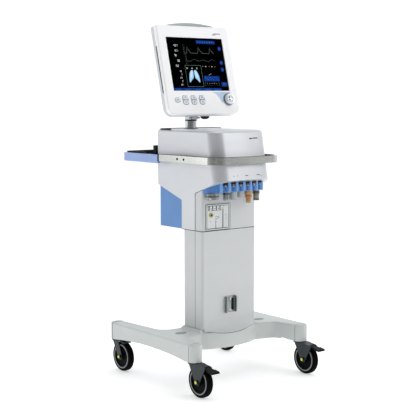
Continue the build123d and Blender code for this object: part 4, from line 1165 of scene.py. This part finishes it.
# --- base: oval covers over the frame bolts ---
LEG_TOP = 182 * MM
LEG_FLOOR = 121 * MM
LEG_HALF = 26 * MM
LEG_EDGE = 7 * MM
LEG_X = 252 * MM
CAP_JOINT_Y = 232.4 * MM
for side, label in SIDES:
    spot = Place((side * 188 * MM, -72 * MM, LEG_TOP), X_AXIS, Y_AXIS)
    oval = [(23 * MM * x, 17 * MM * y) for x, y in circle_points(1.0, 40)]
    rim = [(x * 1.14, y * 1.2) for x, y in oval]
    prism(
        f"base_recess_rim_{label}", spot, rim, -0.8 * MM, 0.25 * MM, "trolley", "base_paint",
        0.2 * MM,
    )
    prism(
        f"base_recess_{label}", spot, oval, -0.4 * MM, 0.45 * MM, "trolley", "recess_slate",
        0.2 * MM,
    )

# dark joints between the base cover and the rounded caps at the leg ends
inner_x = LEG_HALF - LEG_EDGE
inner_z = LEG_TOP - LEG_EDGE
section = [(-LEG_HALF, LEG_FLOOR)]
section += arc_points((-inner_x, inner_z), LEG_EDGE, 180, 90)
section += arc_points((inner_x, inner_z), LEG_EDGE, 90, 0)
section.append((LEG_HALF, LEG_FLOOR))
for side, label in SIDES:
    for end, where in ((-1, "front"), (1, "rear")):
        wall_strip(
            f"leg_cap_joint_{where}_{label}",
            Place((side * LEG_X, end * CAP_JOINT_Y, 0), X_AXIS, Z_AXIS), section, 1.3 * MM,
            -0.6 * MM, 0.6 * MM, "mark_grey",
        )

# --- casters ---
AXLE_BORE = 5.06 * MM
for place in ("fl", "fr", "rl", "rr"):
    axle = Vector(joints[f"wheel_spin_{place}"]["pos_m"])
    wheel_low, wheel_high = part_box(f"caster_wheel_{place}")
    half = (wheel_high.x - wheel_low.x) / 2
    rim = (wheel_high.z - wheel_low.z) / 2
    fork_low, fork_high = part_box(f"caster_fork_{place}")
    fork_half = (fork_high.x - fork_low.x) / 2
    hub = Place(axle, Y_AXIS, Z_AXIS)

    # tyre with a rounded tread, two shallow grooves and stepped sidewalls
    outer = axle.z - 0.05 * MM
    section = [
        (rim + 0.15 * MM, -half), (outer - 5.0 * MM, -half), (outer - 2.2 * MM, -half + 0.9 * MM),
        (outer - 0.6 * MM, -half + 3.0 * MM), (outer, -half + 6.0 * MM), (outer, -2.6 * MM),
        (outer - 0.9 * MM, -2.0 * MM), (outer - 0.9 * MM, -1.2 * MM), (outer, -0.6 * MM),
    ]
    section += [(radius, -x) for radius, x in section[::-1]]
    section.append(section[0])
    tyre = lathe(f"tyre_{place}", hub, section, f"wheel_{place}", "tyre_black", 96, smooth=40)
    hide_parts(f"caster_tyre_{place}")

    # wheel centre with dished sides and a raised boss
    section = [
        (AXLE_BORE, -half), (10.5 * MM, -half), (11.5 * MM, -half + 1.2 * MM),
        (14 * MM, -half + 4.5 * MM), (rim - 9 * MM, -half + 4.0 * MM),
        (rim - 6.5 * MM, -half + 0.6 * MM), (rim - 5.8 * MM, -half), (rim, -half),
    ]
    section += [(radius, -x) for radius, x in section[::-1]]
    section.append(section[0])
    wheel = lathe(f"wheel_centre_{place}", hub, section, f"wheel_{place}", "wheel_grey", 72, smooth=30)
    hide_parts(f"caster_wheel_{place}")
    shape = bmesh.new()
    for low in (-half - 0.35 * MM, half - 0.8 * MM):
        ring = ring_profile(rim - 5.2 * MM, rim - 0.4 * MM, low, low + 1.15 * MM, 0.0)
        grow_lathe(shape, hub, ring, 96)
    add_piece(
        f"wheel_ring_{place}", shape, f"wheel_{place}", "ring_grey",
    )

    # yellow caps over both ends of the axle bolt, on the fork
    shape = bmesh.new()
    for side, _ in SIDES:
        cap = Place(axle + X_AXIS * side * (fork_half - 0.4 * MM), Y_AXIS * side, Z_AXIS)
        profile = in_mm([(0, -1.5), (5.6, -1.5), (5.6, 0.1), (4.6, 0.9), (0, 1.1)])
        grow_lathe(shape, cap, profile, 28)
    add_piece(
        f"axle_cap_{place}", shape, f"caster_{place}", "yellow_cap",
    )
